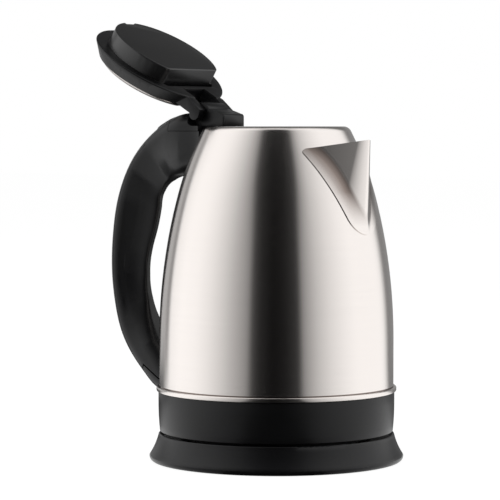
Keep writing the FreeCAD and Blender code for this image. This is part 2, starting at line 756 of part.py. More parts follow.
def handle_section(station, inset):
    """Rounded rectangle square to the handle's run."""
    x, z, facing, thick, wide, corner = station
    turn = math.radians(facing)
    out = Vector(math.cos(turn), 0, math.sin(turn))
    centre = at(x, z)
    half_out = thick - inset
    half_y = wide - inset
    radius = corner - inset
    diagonal = radius * QUARTER_SAG

    def place(s, t):
        return centre + out * s + Y_AXIS * t

    edges = []
    for side_out, side_y in ((1, 1), (-1, 1), (-1, -1), (1, -1)):
        flat_end = place(side_out * half_out, side_y * (half_y - radius))
        round_mid = place(side_out * (half_out - diagonal), side_y * (half_y - diagonal))
        side_end = place(side_out * (half_out - radius), side_y * half_y)
        if side_out * side_y > 0:
            edges.append((flat_end, round_mid, side_end))
        else:
            edges.append((side_end, round_mid, flat_end))
    shapes = []
    for index, (first, middle, last) in enumerate(edges):
        following = edges[(index + 1) % len(edges)][0]
        shapes.append(Part.Arc(first, middle, last).toShape())
        shapes.append(line(last, following))
    return Part.Wire(shapes)


@lru_cache(None)
def handle_loft(inset):
    return Part.makeLoft([handle_section(station, inset) for station in HANDLE_STATIONS], True, False)


def back_zone(gap):
    """Everything outside the parting line of the back strip."""
    inner = []
    outer = []
    for x, z, facing, thick, wide, corner in HANDLE_STATIONS[BACK_FIRST:BACK_LAST]:
        turn = math.radians(facing)
        depth = thick - BACK_DEPTH - gap
        inner.append(at(x + depth * math.cos(turn), z + depth * math.sin(turn), -HANDLE_REACH))
        outer.append(at(x + 2 * thick * math.cos(turn), z + 2 * thick * math.sin(turn), -HANDLE_REACH))
    parting = Part.BSplineCurve()
    parting.interpolate(inner)
    beyond = Part.BSplineCurve()
    beyond.interpolate(outer)
    foot = line(inner[-1], outer[-1])
    head = line(outer[0], inner[0])
    outline = Part.Wire([parting.toShape(), foot, beyond.toShape(), head])
    return Part.Face(outline).extrude(Vector(0, 2 * HANDLE_REACH, 0))


def housing_zone(gap):
    """Space above the housing's seam and in front of its back edge."""
    return block(HOUSING_BACK_X - gap, 0, -HANDLE_REACH, HANDLE_REACH, HOUSING_Z - gap, HINGE_Z + WALL_R)


def along_seam(along, above):
    """Point given along and square to the paddle's seam, from its upper end."""
    fall = math.radians(SEAM_FALL)
    x = SEAM_X + along * math.cos(fall) + above * math.sin(fall)
    z = SEAM_Z - along * math.sin(fall) + above * math.cos(fall)
    return x, z


def paddle_zone(gap):
    """Space of the switch paddle below its seam."""
    reach = HANDLE_REACH
    return prism([along_seam(-gap, gap), along_seam(reach, gap), along_seam(reach, -reach),
                  along_seam(-gap, -reach)], HANDLE_REACH)


def grip_webs():
    """Cross walls that the fixing screws clamp."""
    upper = block(UPPER_WEB_X - WEB_THICK, UPPER_WEB_X, -HANDLE_REACH, HANDLE_REACH,
                  UPPER_BRACKET_Z - UPPER_WEB_BELOW, UPPER_BRACKET_Z + UPPER_WEB_ABOVE)
    tube_side = block(UPPER_WEB_X - 2 * WEB_THICK, UPPER_WEB_X + WEB_THICK,
                      TUBE_Y - TUBE_R - MOVE_GAP, HANDLE_REACH, 0, RIM_Z)
    lower_half = LUG_IN - MOVE_GAP
    lower = block(LOWER_WEB_X - WEB_THICK, LOWER_WEB_X, -lower_half, lower_half,
                  LOWER_BRACKET_Z - LOWER_WEB_BELOW, LOWER_BRACKET_Z + LOWER_WEB_ABOVE)
    webs = upper.cut(tube_side).fuse(lower).common(HANDLE_FILL)
    for x, z in ((UPPER_WEB_X, UPPER_BRACKET_Z), (LOWER_WEB_X, LOWER_BRACKET_Z)):
        drill = Part.makeCylinder(SCREW_R + FIT_GAP, 4 * WEB_THICK, at(x + WEB_THICK, z), X_AXIS * -1)
        webs = webs.cut(drill)
    return webs


def button_outline(gap, low, high):
    """Long round-ended column of the button's cap, grown by a gap."""
    radius = BUTTON_R + gap
    far_x = BUTTON_X - BUTTON_LENGTH
    middle = block(far_x, BUTTON_X, -radius, radius, low, high)
    return middle.fuse(disc(radius, low, high, BUTTON_X)).fuse(disc(radius, low, high, far_x))


def button_shelf():
    """Shelf under the button spring, with the guide hole of the stem."""
    shelf = block(BUTTON_X - SHELF_HALF, BUTTON_X + SHELF_HALF, -HANDLE_REACH, HANDLE_REACH,
                  SHELF_Z, SHELF_Z + SHELF_PLATE)
    return shelf.common(HANDLE_FILL).cut(disc(STEM_R + MOVE_GAP, SHELF_Z - 1, RIM_Z, BUTTON_X))


def lever_bosses():
    """Bosses on the side walls that hold the lever's pin."""
    def boss(y_low, y_high):
        return bar_across(LEVER_PIVOT_X, LEVER_PIVOT_Z, LEVER_HUB_R, y_low, y_high)
    bosses = both_sides(boss, LEVER_PLATE_HALF + MOVE_GAP, HANDLE_REACH).common(HANDLE_FILL)
    return bosses.cut(bar_across(LEVER_PIVOT_X, LEVER_PIVOT_Z, PIN_R + RUN_GAP, -HANDLE_REACH, HANDLE_REACH))


def lever_pin_half():
    return LEVER_PLATE_HALF + 2 * MOVE_GAP + BOSS_WALL


@lru_cache(None)
def handle_shell():
    """Hollow handle with its inner webs, before it is split."""
    shell = HANDLE_FILL.cut(HANDLE_HOLLOW)
    shell = shell.fuse(grip_webs()).fuse(button_shelf()).fuse(lever_bosses())
    pin_room = bar_across(LEVER_PIVOT_X, LEVER_PIVOT_Z, PIN_R + RUN_GAP, -lever_pin_half(), lever_pin_half())
    return shell.cut(jug_envelope(FIT_GAP)).cut(pin_room)


def handle_grip():
    button_hole = button_outline(PART_GAP, SHELF_Z + 2 * SHELF_PLATE, HINGE_Z + BUTTON_R)
    grip = handle_shell().cut(housing_zone(PART_GAP)).cut(back_zone(PART_GAP)).cut(paddle_zone(PADDLE_GAP))
    return largest(grip.cut(button_hole))


def handle_back():
    strip = handle_shell().common(back_zone(0.0)).cut(paddle_zone(PADDLE_GAP))
    return largest(strip)


def tongue():
    """Centre block between the lid arms, with a round hump over the pin."""
    low = RIM_Z + TONGUE_LIFT
    foot = at(TONGUE_FRONT_X, low)
    front_top = at(TONGUE_FRONT_X, TONGUE_FRONT_Z)
    nose_back = at(TONGUE_FRONT_X - TONGUE_NOSE, TONGUE_FRONT_Z + TONGUE_NOSE)
    barrel_top = at(HINGE_X, HINGE_Z + BARREL_R)
    back_top = at(TONGUE_BACK_X, HINGE_Z - BARREL_R)
    back = at(TONGUE_BACK_X, low)
    outline = Part.Wire([
        line(foot, front_top),
        sagged_arc(front_top, nose_back, -TONGUE_NOSE * QUARTER_SAG),
        sagged_arc(nose_back, barrel_top, -TONGUE_CROWN),
        line(barrel_top, back_top),
        line(back_top, back),
        line(back, foot),
    ])
    side = Part.Face(outline)
    side.translate(Y_AXIS * -TONGUE_HALF)
    block_shape = side.extrude(Y_AXIS * (2 * TONGUE_HALF))
    return block_shape.fuse(bar_across(HINGE_X, HINGE_Z, HUMP_R, -TONGUE_HALF, TONGUE_HALF))


def arm_pockets():
    """Room for the lid arms and their knuckles on both sides of the tongue."""
    radius = KNUCKLE_R + MOVE_GAP

    def pocket(y_low, y_high):
        upper = bar_across(HINGE_X, HINGE_Z, radius, y_low, y_high)
        lower = bar_across(HINGE_X, POCKET_Z + radius, radius, y_low, y_high)
        between = block(HINGE_X - radius, 0, y_low, y_high, POCKET_Z + radius, HINGE_Z)
        front = block(HINGE_X, 0, y_low, y_high, POCKET_Z, HINGE_Z)
        above = block(HINGE_X - radius, 0, y_low, y_high, HINGE_Z, HINGE_Z + WALL_R)
        return upper.fuse(lower).fuse(between).fuse(front).fuse(above)

    return both_sides(pocket, TONGUE_HALF, HANDLE_REACH)


def lever_room():
    """Well in the housing for the upper end of the lever."""
    back = LEVER_PIVOT_X - LEVER_BAR / 2 - LEVER_ROOM
    front = LEVER_PIVOT_X + LEVER_BAR / 2 + LEVER_NIB + MOVE_GAP
    half = LEVER_PLATE_HALF + MOVE_GAP
    return block(back, front, -half, half, HOUSING_Z - 1, LEVER_TOP_Z + MOVE_GAP)


def hinge_housing():
    cap = HANDLE_FILL.common(housing_zone(0.0)).cut(arm_pockets())
    front = block(HINGE_X + BARREL_R, 0, -HANDLE_REACH, HANDLE_REACH, HOUSING_Z - 1, HINGE_Z + WALL_R)
    housing = cap.cut(front).fuse(tongue()).cut(jug_envelope(FIT_GAP)).cut(lever_room())
    housing = housing.cut(bar_across(HINGE_X, HINGE_Z, PIN_R + RUN_GAP / 2, -HANDLE_REACH, HANDLE_REACH))
    coil_low = LID_COIL_Y - LID_COIL_ROOM
    coil_room_r = LID_COIL_R + LID_WIRE_R + LID_COIL_ROOM
    coil_room = bar_across(HINGE_X, HINGE_Z, coil_room_r, coil_low, TONGUE_HALF + 1)
    return largest(housing.cut(coil_room))


def arm_outer_y():
    return TONGUE_HALF + SLOT_GAP + ARM_THICK


def pin_room():
    """Half length of the blind bore that the hinge pin lies in."""
    return arm_outer_y() - PIN_CAP


def hinge_pin():
    half = pin_room() - FIT_GAP
    return bar_across(HINGE_X, HINGE_Z, PIN_R, -half, half)


# Wound springs

def biarc(start, start_run, end, end_run):
    """Two arcs that join smoothly from one point and direction to the next."""
    gap = end - start
    runs = start_run + end_run
    a = runs.dot(runs) - 4
    b = -2 * gap.dot(runs)
    c = gap.dot(gap)
    reach = (-b - math.sqrt(b * b - 4 * a * c)) / (2 * a)
    if reach < 0:
        reach = (-b + math.sqrt(b * b - 4 * a * c)) / (2 * a)
    first_corner = start + start_run * reach
    last_corner = end - end_run * reach
    joint = (first_corner + last_corner) * 0.5
    arcs = []
    for low, corner, high in ((start, first_corner, joint), (joint, last_corner, end)):
        weight = (high - low).Length / (2 * reach)
        middle = (low + corner * (2 * weight) + high) * (1 / (2 + 2 * weight))
        arcs.append(Part.Arc(low, middle, high).toShape())
    return arcs


def coil(name, radius, wire, pitch, turns):
    """Round wire wound about the Z axis from the origin upwards."""
    steps = 4 * turns
    rise = pitch / (2 * math.pi)

    def place(turn):
        return Vector(radius * math.cos(turn), radius * math.sin(turn), rise * turn)

    def run(turn):
        return Vector(-radius * math.sin(turn), radius * math.cos(turn), rise).normalize()

    edges = []
    for step in range(steps):
        low = step * math.pi / 2
        high = low + math.pi / 2
        edges += biarc(place(low), run(low), place(high), run(high))
    path = Part.Wire(edges)
    section = Part.Wire(Part.makeCircle(wire, place(0), run(0)))
    print(name, "least gap to itself %.2f mm" % coil_gap(path, wire, turns))
    return path.makePipeShell([section], True, False)


def coil_gap(path, wire, turns):
    """Least distance between the surfaces of neighbouring turns, on points."""
    per_turn = 24
    points = path.discretize(Number=per_turn * turns + 1)
    least = min((points[i] - points[j]).Length
                for i in range(len(points)) for j in range(i + per_turn // 2, len(points)))
    return least - 2 * wire


def lid_spring():
    spring = coil("lid_spring", LID_COIL_R, LID_WIRE_R, LID_COIL_PITCH, LID_COIL_TURNS)
    spring.rotate(ORIGIN, X_AXIS, -90)
    spring.translate(at(HINGE_X, HINGE_Z, LID_COIL_Y))
    return spring


def cap_low_z():
    """Underside of the button's cap, where its spring ends."""
    return BUTTON_SURFACE_Z - BUTTON_SKIRT


def button_spring():
    low = SHELF_Z + SHELF_PLATE + BUTTON_WIRE_R + FIT_GAP
    high = cap_low_z() - BUTTON_WIRE_R - FIT_GAP
    pitch = (high - low) / BUTTON_COIL_TURNS
    spring = coil("button_spring", BUTTON_COIL_R, BUTTON_WIRE_R, pitch, BUTTON_COIL_TURNS)
    spring.translate(at(BUTTON_X, low))
    return spring


# Release button and lever

def lever_top_z():
    """Upper face of the lever's tail."""
    return LEVER_PIVOT_Z - LEVER_HUB_R + LEVER_BAR


def lid_button():
    low = cap_low_z()
    cap = handle_loft(-BUTTON_PROUD).common(button_outline(0.0, low, HINGE_Z + BUTTON_R))
    stem_low = lever_top_z() + PART_GAP + STEM_R
    stem = disc(STEM_R, stem_low, low + 1, BUTTON_X)
    tip = Part.makeSphere(STEM_R, at(BUTTON_X, stem_low))
    return cap.fuse(stem).fuse(tip)


def release_lever():
    low = LEVER_PIVOT_Z - LEVER_HUB_R
    tail = block(LEVER_PIVOT_X - LEVER_TAIL, LEVER_PIVOT_X, -LEVER_BAR_HALF, LEVER_BAR_HALF,
                 low, low + LEVER_BAR)
    plate = block(LEVER_PIVOT_X - LEVER_BAR / 2, LEVER_PIVOT_X + LEVER_BAR / 2,
                  -LEVER_PLATE_HALF, LEVER_PLATE_HALF, LEVER_PIVOT_Z, LEVER_TOP_Z)
    nib = block(LEVER_PIVOT_X, LEVER_PIVOT_X + LEVER_BAR / 2 + LEVER_NIB,
                -LEVER_PLATE_HALF, LEVER_PLATE_HALF, LEVER_TOP_Z - LEVER_BAR, LEVER_TOP_Z)
    hub = bar_across(LEVER_PIVOT_X, LEVER_PIVOT_Z, LEVER_HUB_R, -LEVER_PLATE_HALF, LEVER_PLATE_HALF)
    lever = tail.fuse(plate).fuse(nib).fuse(hub)
    return lever.cut(bar_across(LEVER_PIVOT_X, LEVER_PIVOT_Z, PIN_R + RUN_GAP, -HANDLE_REACH, HANDLE_REACH))


def lever_pin():
    return bar_across(LEVER_PIVOT_X, LEVER_PIVOT_Z, PIN_R, -lever_pin_half(), lever_pin_half())


# Switch at the foot of the handle

def paddle_pivot():
    return along_seam(PADDLE_PIVOT_ALONG, -PADDLE_PIVOT_BELOW)


def power_switch():
    x, z = paddle_pivot()
    paddle = HANDLE_FILL.common(paddle_zone(0.0)).cut(handle_loft(PADDLE_WALL))

    def hub(y_low, y_high):
        return bar_across(x, z, PADDLE_HUB_R, y_low, y_high)

    paddle = paddle.fuse(both_sides(hub, LUG_OUT + MOVE_GAP, HANDLE_REACH).common(HANDLE_FILL))
    paddle = paddle.cut(bar_across(x, z, SWITCH_PIN_R + RUN_GAP, -SWITCH_PIN_HALF, SWITCH_PIN_HALF))
    return largest(paddle.cut(jug_envelope(PADDLE_BODY_GAP)))


def switch_pin():
    x, z = paddle_pivot()
    return bar_across(x, z, SWITCH_PIN_R, -SWITCH_PIN_HALF + FIT_GAP, SWITCH_PIN_HALF - FIT_GAP)


def switch_block(gap):
    """Block of the steam switch, grown upwards by a gap."""
    top = SWITCH_HEIGHT + gap
    return prism([along_seam(-SWITCH_BACK, PADDLE_GAP), along_seam(SWITCH_FRONT, PADDLE_GAP),
                  along_seam(SWITCH_FRONT, top), along_seam(-SWITCH_BACK, top)], HANDLE_REACH)


def steam_switch():
    x, z = paddle_pivot()
    unit = switch_block(0.0)

    def lug(y_low, y_high):
        arm = prism([along_seam(0, PADDLE_GAP),
                     along_seam(PADDLE_PIVOT_ALONG, -PADDLE_PIVOT_BELOW - SWITCH_PIN_R),
                     along_seam(PADDLE_PIVOT_ALONG + SWITCH_PIN_R, -PADDLE_PIVOT_BELOW),
                     along_seam(PADDLE_PIVOT_ALONG, LUG_TOP),
                     along_seam(0, LUG_TOP + PADDLE_GAP)], HANDLE_REACH)
        arm = arm.fuse(bar_across(x, z, PADDLE_HUB_R, -HANDLE_REACH, HANDLE_REACH))
        return arm.common(block(-2 * WALL_R, 0, y_low, y_high, 0, RIM_Z))

    unit = unit.fuse(both_sides(lug, LUG_IN, LUG_OUT))
    unit = unit.common(handle_loft(HANDLE_WALL + FIT_GAP)).cut(back_zone(PART_GAP))
    return largest(unit.cut(bar_across(x, z, SWITCH_PIN_R + RUN_GAP / 2, -HANDLE_REACH, HANDLE_REACH)))


# Steam tube

def rounded_path(points, radius):
    """Straight runs joined by tangent arcs."""
    edges = []
    here = points[0]
    for before, corner, after in zip(points, points[1:], points[2:]):
        back = (before - corner).normalize()
        ahead = (after - corner).normalize()
        half = math.acos(max(-1.0, min(1.0, back.dot(ahead)))) / 2
        trim = radius / math.tan(half)
        first = corner + back * trim
        last = corner + ahead * trim
        inward = (back + ahead).normalize()
        middle = corner + inward * (radius / math.sin(half) - radius)
        edges.append(line(here, first))
        edges.append(Part.Arc(first, middle, last).toShape())
        here = last
    edges.append(line(here, points[-1]))
    return Part.Wire(edges)


def steam_tube():
    start_x = -math.sqrt(wall_radius(TUBE_Z) ** 2 - TUBE_Y ** 2) - TUBE_R / 2
    end = along_seam(-TUBE_END, SWITCH_HEIGHT)
    route = [Vector(*place) for place in TUBE_ROUTE]
    points = [Vector(start_x, TUBE_Y, TUBE_Z)] + route + [at(end[0], end[1])]
    path = rounded_path(points, TUBE_BEND_R)

    def sleeve(radius):
        return path.makePipeShell([Part.Wire(Part.makeCircle(radius, points[0], X_AXIS))], True, False)

    tube = sleeve(TUBE_R).cut(sleeve(TUBE_BORE_R))
    return tube.cut(jug_envelope(FIT_GAP)).cut(switch_block(FIT_GAP))


# Handle fixing

def bracket(z):
    """Curved plate on the wall with a threaded boss."""
    plate = jug_fill(BRACKET_THICK + RUN_GAP).cut(jug_fill(RUN_GAP))
    window = block(-2 * WALL_R, 0, -BRACKET_HALF_Y, BRACKET_HALF_Y, z - BRACKET_HALF_Z, z + BRACKET_HALF_Z)
    return plate.common(window)


def fixing_boss(web_x, z):
    start = -wall_radius(z)
    boss = Part.makeCylinder(BRACKET_BOSS_R, start - web_x - FIT_GAP, at(web_x + FIT_GAP, z), X_AXIS)
    return boss.cut(jug_fill(RUN_GAP))


def fixings():
    return ((UPPER_WEB_X, UPPER_BRACKET_Z), (LOWER_WEB_X, LOWER_BRACKET_Z))


def screw_reach(web_x, z):
    """Length of the thread inside the boss."""
    return -wall_radius(z) - web_x - THREAD_STOP


def handle_brackets():
    plates = []
    for web_x, z in fixings():
        plate = bracket(z).fuse(fixing_boss(web_x, z))
        bore = Part.makeCylinder(SCREW_R + RUN_GAP, screw_reach(web_x, z) + FIT_GAP, at(web_x, z), X_AXIS)
        plates.append(largest(plate.cut(bore)))
    return only(plates)


def handle_screws():
    screws = []
    for web_x, z in fixings():
        head_x = web_x - WEB_THICK - SCREW_HEAD
        head = Part.makeCylinder(SCREW_HEAD_R, SCREW_HEAD, at(head_x, z), X_AXIS)
        length = SCREW_HEAD + WEB_THICK + screw_reach(web_x, z)
        thread = Part.makeCylinder(SCREW_R, length, at(head_x, z), X_AXIS)
        screws.append(head.fuse(thread))
    return only(screws)


# Lid

def opened(shape):
    """Swing a piece of the lid from its closed place to the open stop."""
    shape.rotate(at(HINGE_X, HINGE_Z), Y_AXIS * -1, LID_OPEN)
    return shape


def lid_low_z():
    return RIM_Z + LID_LIFT


def lid_slot(gap):
    """Opening in the back of the lid that the tongue fills."""
    half = TONGUE_HALF + SLOT_GAP + gap
    return block(-2 * LID_R, TONGUE_FRONT_X + SLOT_FRONT_GAP + gap, -half, half, 0, 2 * HINGE_Z)


def lid_arms():
    low = lid_low_z() + ARM_LIFT
    high = lid_low_z() + ARM_RISE
    outline = [(LID_EAR_X, low), (HINGE_X + 2 * KNUCKLE_R, low), (HINGE_X - ARM_HEEL, low + ARM_HEEL_RISE),
               (HINGE_X - KNUCKLE_R, HINGE_Z), (HINGE_X, high), (LID_EAR_X, high)]
    knuckles = bar_across(HINGE_X, HINGE_Z, KNUCKLE_R, -arm_outer_y(), arm_outer_y())
    arms = prism(outline, arm_outer_y()).fuse(knuckles)
    return arms.cut(bar_across(HINGE_X, HINGE_Z, PIN_R + RUN_GAP, -pin_room(), pin_room()))


def behind(x):
    """Space of the lid behind a line across it."""
    return block(-2 * LID_R, x, -2 * LID_R, 2 * LID_R, 0, 2 * HINGE_Z)


def lid_bore():
    """Inner radius of the band, which the inner cup's flange fills."""
    return LID_TOP_R - LID_WALL


def lid_cover():
    low = lid_low_z()
    high = low + LID_BAND
    seat_z = high - LID_PLATE_SEAT
    roof_z = seat_z - LID_TOP_WALL
    seat_r = LID_PLATE_R + FIT_GAP
    edge_r = LID_R - LID_EDGE_ROUND
    edge_z = low + LID_EDGE_ROUND
    shell = turned([
        line(at(lid_bore(), low), at(edge_r, low)),
        sagged_arc(at(edge_r, low), at(LID_R, edge_z), -LID_EDGE_ROUND * QUARTER_SAG),
        line(at(LID_R, edge_z), at(LID_TOP_R, high)),
        line(at(LID_TOP_R, high), at(seat_r, high)),
        line(at(seat_r, high), at(seat_r, seat_z)),
        line(at(seat_r, seat_z), at(0, seat_z)),
        line(at(0, seat_z), at(0, roof_z)),
        line(at(0, roof_z), at(lid_bore(), roof_z)),
        line(at(lid_bore(), roof_z), at(lid_bore(), low)),
    ])
    ears = disc(LID_TOP_R - LID_WALL / 2, low, seat_z).common(behind(LID_EAR_X))
    cover = shell.fuse(ears).fuse(lid_arms().cut(disc(seat_r, seat_z, high + 1))).cut(lid_slot(0.0))
    for x, y in lid_screw_places():
        cover = cover.cut(disc(SCREW_R + FIT_GAP, low, high, x, y))
    return opened(cover)


def lid_screw_places():
    turns = [math.radians(angle) for angle in LID_SCREW_ANGLES]
    return [(LID_SCREW_CIRCLE * math.cos(turn), LID_SCREW_CIRCLE * math.sin(turn)) for turn in turns]


def cup_fill(inset, low, high):
    """D-shaped prism of the inner cup."""
    whole = disc(CUP_R - inset, low, high)
    cup = whole.cut(block(-2 * CUP_R, CUP_FLAT_X + inset, -2 * CUP_R, 2 * CUP_R, low - 1, high + 1))
    corners = [edge for edge in cup.Edges
               if edge.BoundBox.ZLength > 1 and abs(edge.BoundBox.XMax - CUP_FLAT_X - inset) < RUN_GAP]
    return cup.makeFillet(CUP_CORNER_R - inset, corners)


def lid_inner():
    low = lid_low_z()
    face_z = low - CUP_DEPTH
    flange_top = low + CUP_WALL
    roof_z = low + LID_BAND - LID_PLATE_SEAT - LID_TOP_WALL
    cup = cup_fill(0.0, face_z, flange_top)
    bottom_edges = [edge for edge in cup.Edges if abs(edge.BoundBox.ZMax - face_z) < RUN_GAP]
    cup = cup.makeFillet(CUP_EDGE, bottom_edges)
    flange = disc(lid_bore() - FIT_GAP, low, flange_top).cut(behind(CUP_FLAT_X))
    cup = cup.fuse(flange).cut(cup_fill(CUP_WALL, face_z + CUP_WALL, flange_top + 1))
    for x, y in lid_screw_places():
        cup = cup.fuse(disc(SCREW_R + BOSS_WALL, face_z + CUP_WALL / 2, roof_z - FIT_GAP, x, y))
        cup = cup.cut(disc(SCREW_R + FIT_GAP, roof_z - LID_SCREW_LENGTH, roof_z, x, y))
    notch = block(CUP_R - CUP_NOTCH, CUP_R + 1, -CUP_NOTCH_HALF, CUP_NOTCH_HALF,
                  face_z - 1, face_z + CUP_NOTCH_DROP)
    return opened(cup.cut(notch))


def dome(edge_r, edge_z):
    """Shallow arc from an edge up to the axis, where it is level."""
    radius = (edge_r ** 2 + LID_DOME ** 2) / (2 * LID_DOME)
    edge_turn = math.degrees(math.acos(edge_r / radius))
    return arc_about(at(0, edge_z + LID_DOME - radius), radius, edge_turn, 90)


def lid_plate():
    band_z = lid_low_z() + LID_BAND
    low = band_z - LID_PLATE_SEAT + FIT_GAP
    knee_z = band_z + LID_PLATE_STEP
    high = band_z + LID_PLATE_EDGE
    shoulder_r = LID_PLATE_R - LID_PLATE_SHOULDER
    inner_r = LID_PLATE_R - LID_PLATE_THICK
    inner_knee_z = knee_z - LID_PLATE_THICK / 2
    inner_z = high - LID_PLATE_THICK
    plate = turned([
        line(at(inner_r, low), at(LID_PLATE_R, low)),
        line(at(LID_PLATE_R, low), at(LID_PLATE_R, knee_z)),
        sagged_arc(at(LID_PLATE_R, knee_z), at(shoulder_r, high), -LID_PLATE_SAG),
        dome(shoulder_r, high),
        line(at(0, high + LID_DOME), at(0, inner_z + LID_DOME)),
        dome(shoulder_r, inner_z),
        line(at(shoulder_r, inner_z), at(inner_r, inner_knee_z)),
        line(at(inner_r, inner_knee_z), at(inner_r, low)),
    ])
    return opened(plate.cut(lid_slot(FIT_GAP)))


def lid_screws():
    seat_z = lid_low_z() + LID_BAND - LID_PLATE_SEAT
    screws = []
    for x, y in lid_screw_places():
        head = disc(SCREW_HEAD_R, seat_z, seat_z + SCREW_HEAD, x, y)
        tip_z = seat_z - LID_TOP_WALL - LID_SCREW_LENGTH + FIT_GAP
        thread = disc(SCREW_R, tip_z, seat_z + SCREW_HEAD, x, y)
        screws.append(opened(head.fuse(thread)))
    return only(screws)


HANDLE_FILL = handle_loft(0.0)
HANDLE_HOLLOW = handle_loft(HANDLE_WALL)
BUTTON_LINE = line(at(BUTTON_X, SHELF_Z), at(BUTTON_X, SHELF_Z + WALL_R)).common(HANDLE_FILL)
BUTTON_SURFACE_Z = max(vertex.Z for vertex in BUTTON_LINE.Vertexes)

PIECES = [
    base_shell, base_floor, foot_ring, base_screws, base_plug, base_contacts,
    kettle_socket, socket_contacts,
    lower_band, bottom_cover, bottom_screws, steel_body, spout,
    heater_plate, heater_disc, heating_element, thermostat, thermostat_discs,
    handle_grip, handle_back, hinge_housing, hinge_pin, handle_brackets, handle_screws,
    steam_tube, steam_switch, switch_pin, lever_pin, lid_spring, button_spring,
    lid_cover, lid_inner, lid_plate, lid_screws,
    lid_button, release_lever, power_switch,
]

os.makedirs("parts", exist_ok=True)
for piece in PIECES:
    shape = piece()
    shape.exportStep("parts/%s.step" % piece.__name__)
    print(piece.__name__, len(shape.Solids), "solid(s), %.1f mm3" % shape.Volume, shape.isValid())
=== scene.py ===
import math

import bpy
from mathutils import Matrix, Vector


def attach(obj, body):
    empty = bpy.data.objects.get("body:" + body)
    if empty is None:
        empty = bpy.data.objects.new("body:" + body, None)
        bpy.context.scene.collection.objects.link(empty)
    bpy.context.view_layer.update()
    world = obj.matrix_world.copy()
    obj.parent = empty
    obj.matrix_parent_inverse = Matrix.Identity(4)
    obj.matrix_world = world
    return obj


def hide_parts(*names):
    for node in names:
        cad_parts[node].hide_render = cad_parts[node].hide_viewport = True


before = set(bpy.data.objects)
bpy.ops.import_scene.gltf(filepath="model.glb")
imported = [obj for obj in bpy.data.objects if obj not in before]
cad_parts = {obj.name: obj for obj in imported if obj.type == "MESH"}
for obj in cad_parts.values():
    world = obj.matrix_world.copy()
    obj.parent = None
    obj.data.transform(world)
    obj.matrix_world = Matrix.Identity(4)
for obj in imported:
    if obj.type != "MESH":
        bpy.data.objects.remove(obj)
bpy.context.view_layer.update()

# Power base: the flared stand with a dish that the kettle is lifted off.
# It is one moulding in black ABS, spark-eroded in the tool so that it comes out satin and faintly grained,
# with a rounded top edge and a round inlet for the lead at the back of its skirt.
MM = 0.001
SHARP_ANGLE = math.radians(35)
FLAT_ANGLE = math.radians(0.3)
MERGE_GAP = 0.002 * MM
EASE_STEPS = 2


def linear(colour):
    """Linear colour of an sRGB hex value."""
    parts = [int(colour[i:i + 2], 16) / 255 for i in (1, 3, 5)]
    return [p / 12.92 if p <= 0.04045 else ((p + 0.055) / 1.055) ** 2.4 for p in parts] + [1.0]


def add_node(tree, kind, settings=None, links=None):
    """Node with its settings, given as sockets or properties, and its incoming links."""
    node = tree.nodes.new(kind)
    for key, value in (settings or {}).items():
        if isinstance(key, str) and hasattr(node, key):
            setattr(node, key, value)
        else:
            node.inputs[key].default_value = value
    for key, source in (links or {}).items():
        tree.links.new(source, node.inputs[key])
    return node


def surface(name, colours, patch_mm, grain_mm, roughness, relief_mm, run=(1, 1, 1), sockets=None):
    """Material with mottled colour, uneven roughness and a fine relief. run stretches the grain."""
    material = bpy.data.materials.new(name)
    material.use_nodes = True
    tree = material.node_tree
    shader = tree.nodes["Principled BSDF"]
    place = add_node(tree, "ShaderNodeTexCoord")
    along = add_node(tree, "ShaderNodeMapping", {"Scale": run}, {"Vector": place.outputs["Object"]})
    patches = add_node(tree, "ShaderNodeTexNoise", {"Scale": 1 / (patch_mm * MM), "Detail": 3.0},
                       {"Vector": along.outputs["Vector"]})
    grain = add_node(tree, "ShaderNodeTexNoise", {"Scale": 1 / (grain_mm * MM), "Detail": 2.0},
                     {"Vector": along.outputs["Vector"]})
    tint = add_node(tree, "ShaderNodeValToRGB", None, {"Fac": patches.outputs["Fac"]})
    for stop, position, colour in zip(tint.color_ramp.elements, (0.3, 0.7), colours):
        stop.position = position
        stop.color = linear(colour)
    gloss = add_node(tree, "ShaderNodeMapRange", {"To Min": roughness[0], "To Max": roughness[1]},
                     {"Value": grain.outputs["Fac"]})
    relief = add_node(tree, "ShaderNodeBump", {"Strength": 1.0, "Distance": relief_mm * MM},
                      {"Height": grain.outputs["Fac"]})
    for key, value in (sockets or {}).items():
        shader.inputs[key].default_value = value
    tree.links.new(tint.outputs["Color"], shader.inputs["Base Color"])
    tree.links.new(gloss.outputs["Result"], shader.inputs["Roughness"])
    tree.links.new(relief.outputs["Normal"], shader.inputs["Normal"])
    return material


def pick(piece):
    """Make one piece the only selected and active one."""
    bpy.ops.object.select_all(action="DESELECT")
    piece.select_set(True)
    bpy.context.view_layer.objects.active = piece


def paint(piece, material):
    """Give a piece one material all over."""
    piece.data.materials.clear()
    piece.data.materials.append(material)


def paint_nodes(material, *names):
    """Paint pieces that are shown as their solids."""
    for name in names:
        paint(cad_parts[name], material)


def moulding(node, body, material, edge_mm):
    """Moulded piece after its solid: triangles joined, sharp edges eased by a small radius, faces smooth."""
    piece = bpy.data.objects.new(node + "_finished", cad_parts[node].data.copy())
    bpy.context.scene.collection.objects.link(piece)
    pick(piece)
    bpy.ops.mesh.customdata_custom_splitnormals_clear()
    bpy.ops.object.mode_set(mode="EDIT")
    bpy.ops.mesh.select_all(action="SELECT")
    bpy.ops.mesh.remove_doubles(threshold=MERGE_GAP)
    bpy.ops.mesh.dissolve_limited(angle_limit=FLAT_ANGLE)
    bpy.ops.object.mode_set(mode="OBJECT")
    if edge_mm:
        ease = piece.modifiers.new("eased_edges", "BEVEL")
        ease.width = edge_mm * MM
        ease.segments = EASE_STEPS
        ease.limit_method = "ANGLE"
        ease.angle_limit = SHARP_ANGLE
        bpy.ops.object.modifier_apply(modifier=ease.name)
    bpy.ops.object.shade_smooth_by_angle(angle=SHARP_ANGLE)
    paint(piece, material)
    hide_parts(node)
    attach(piece, body)
    return piece


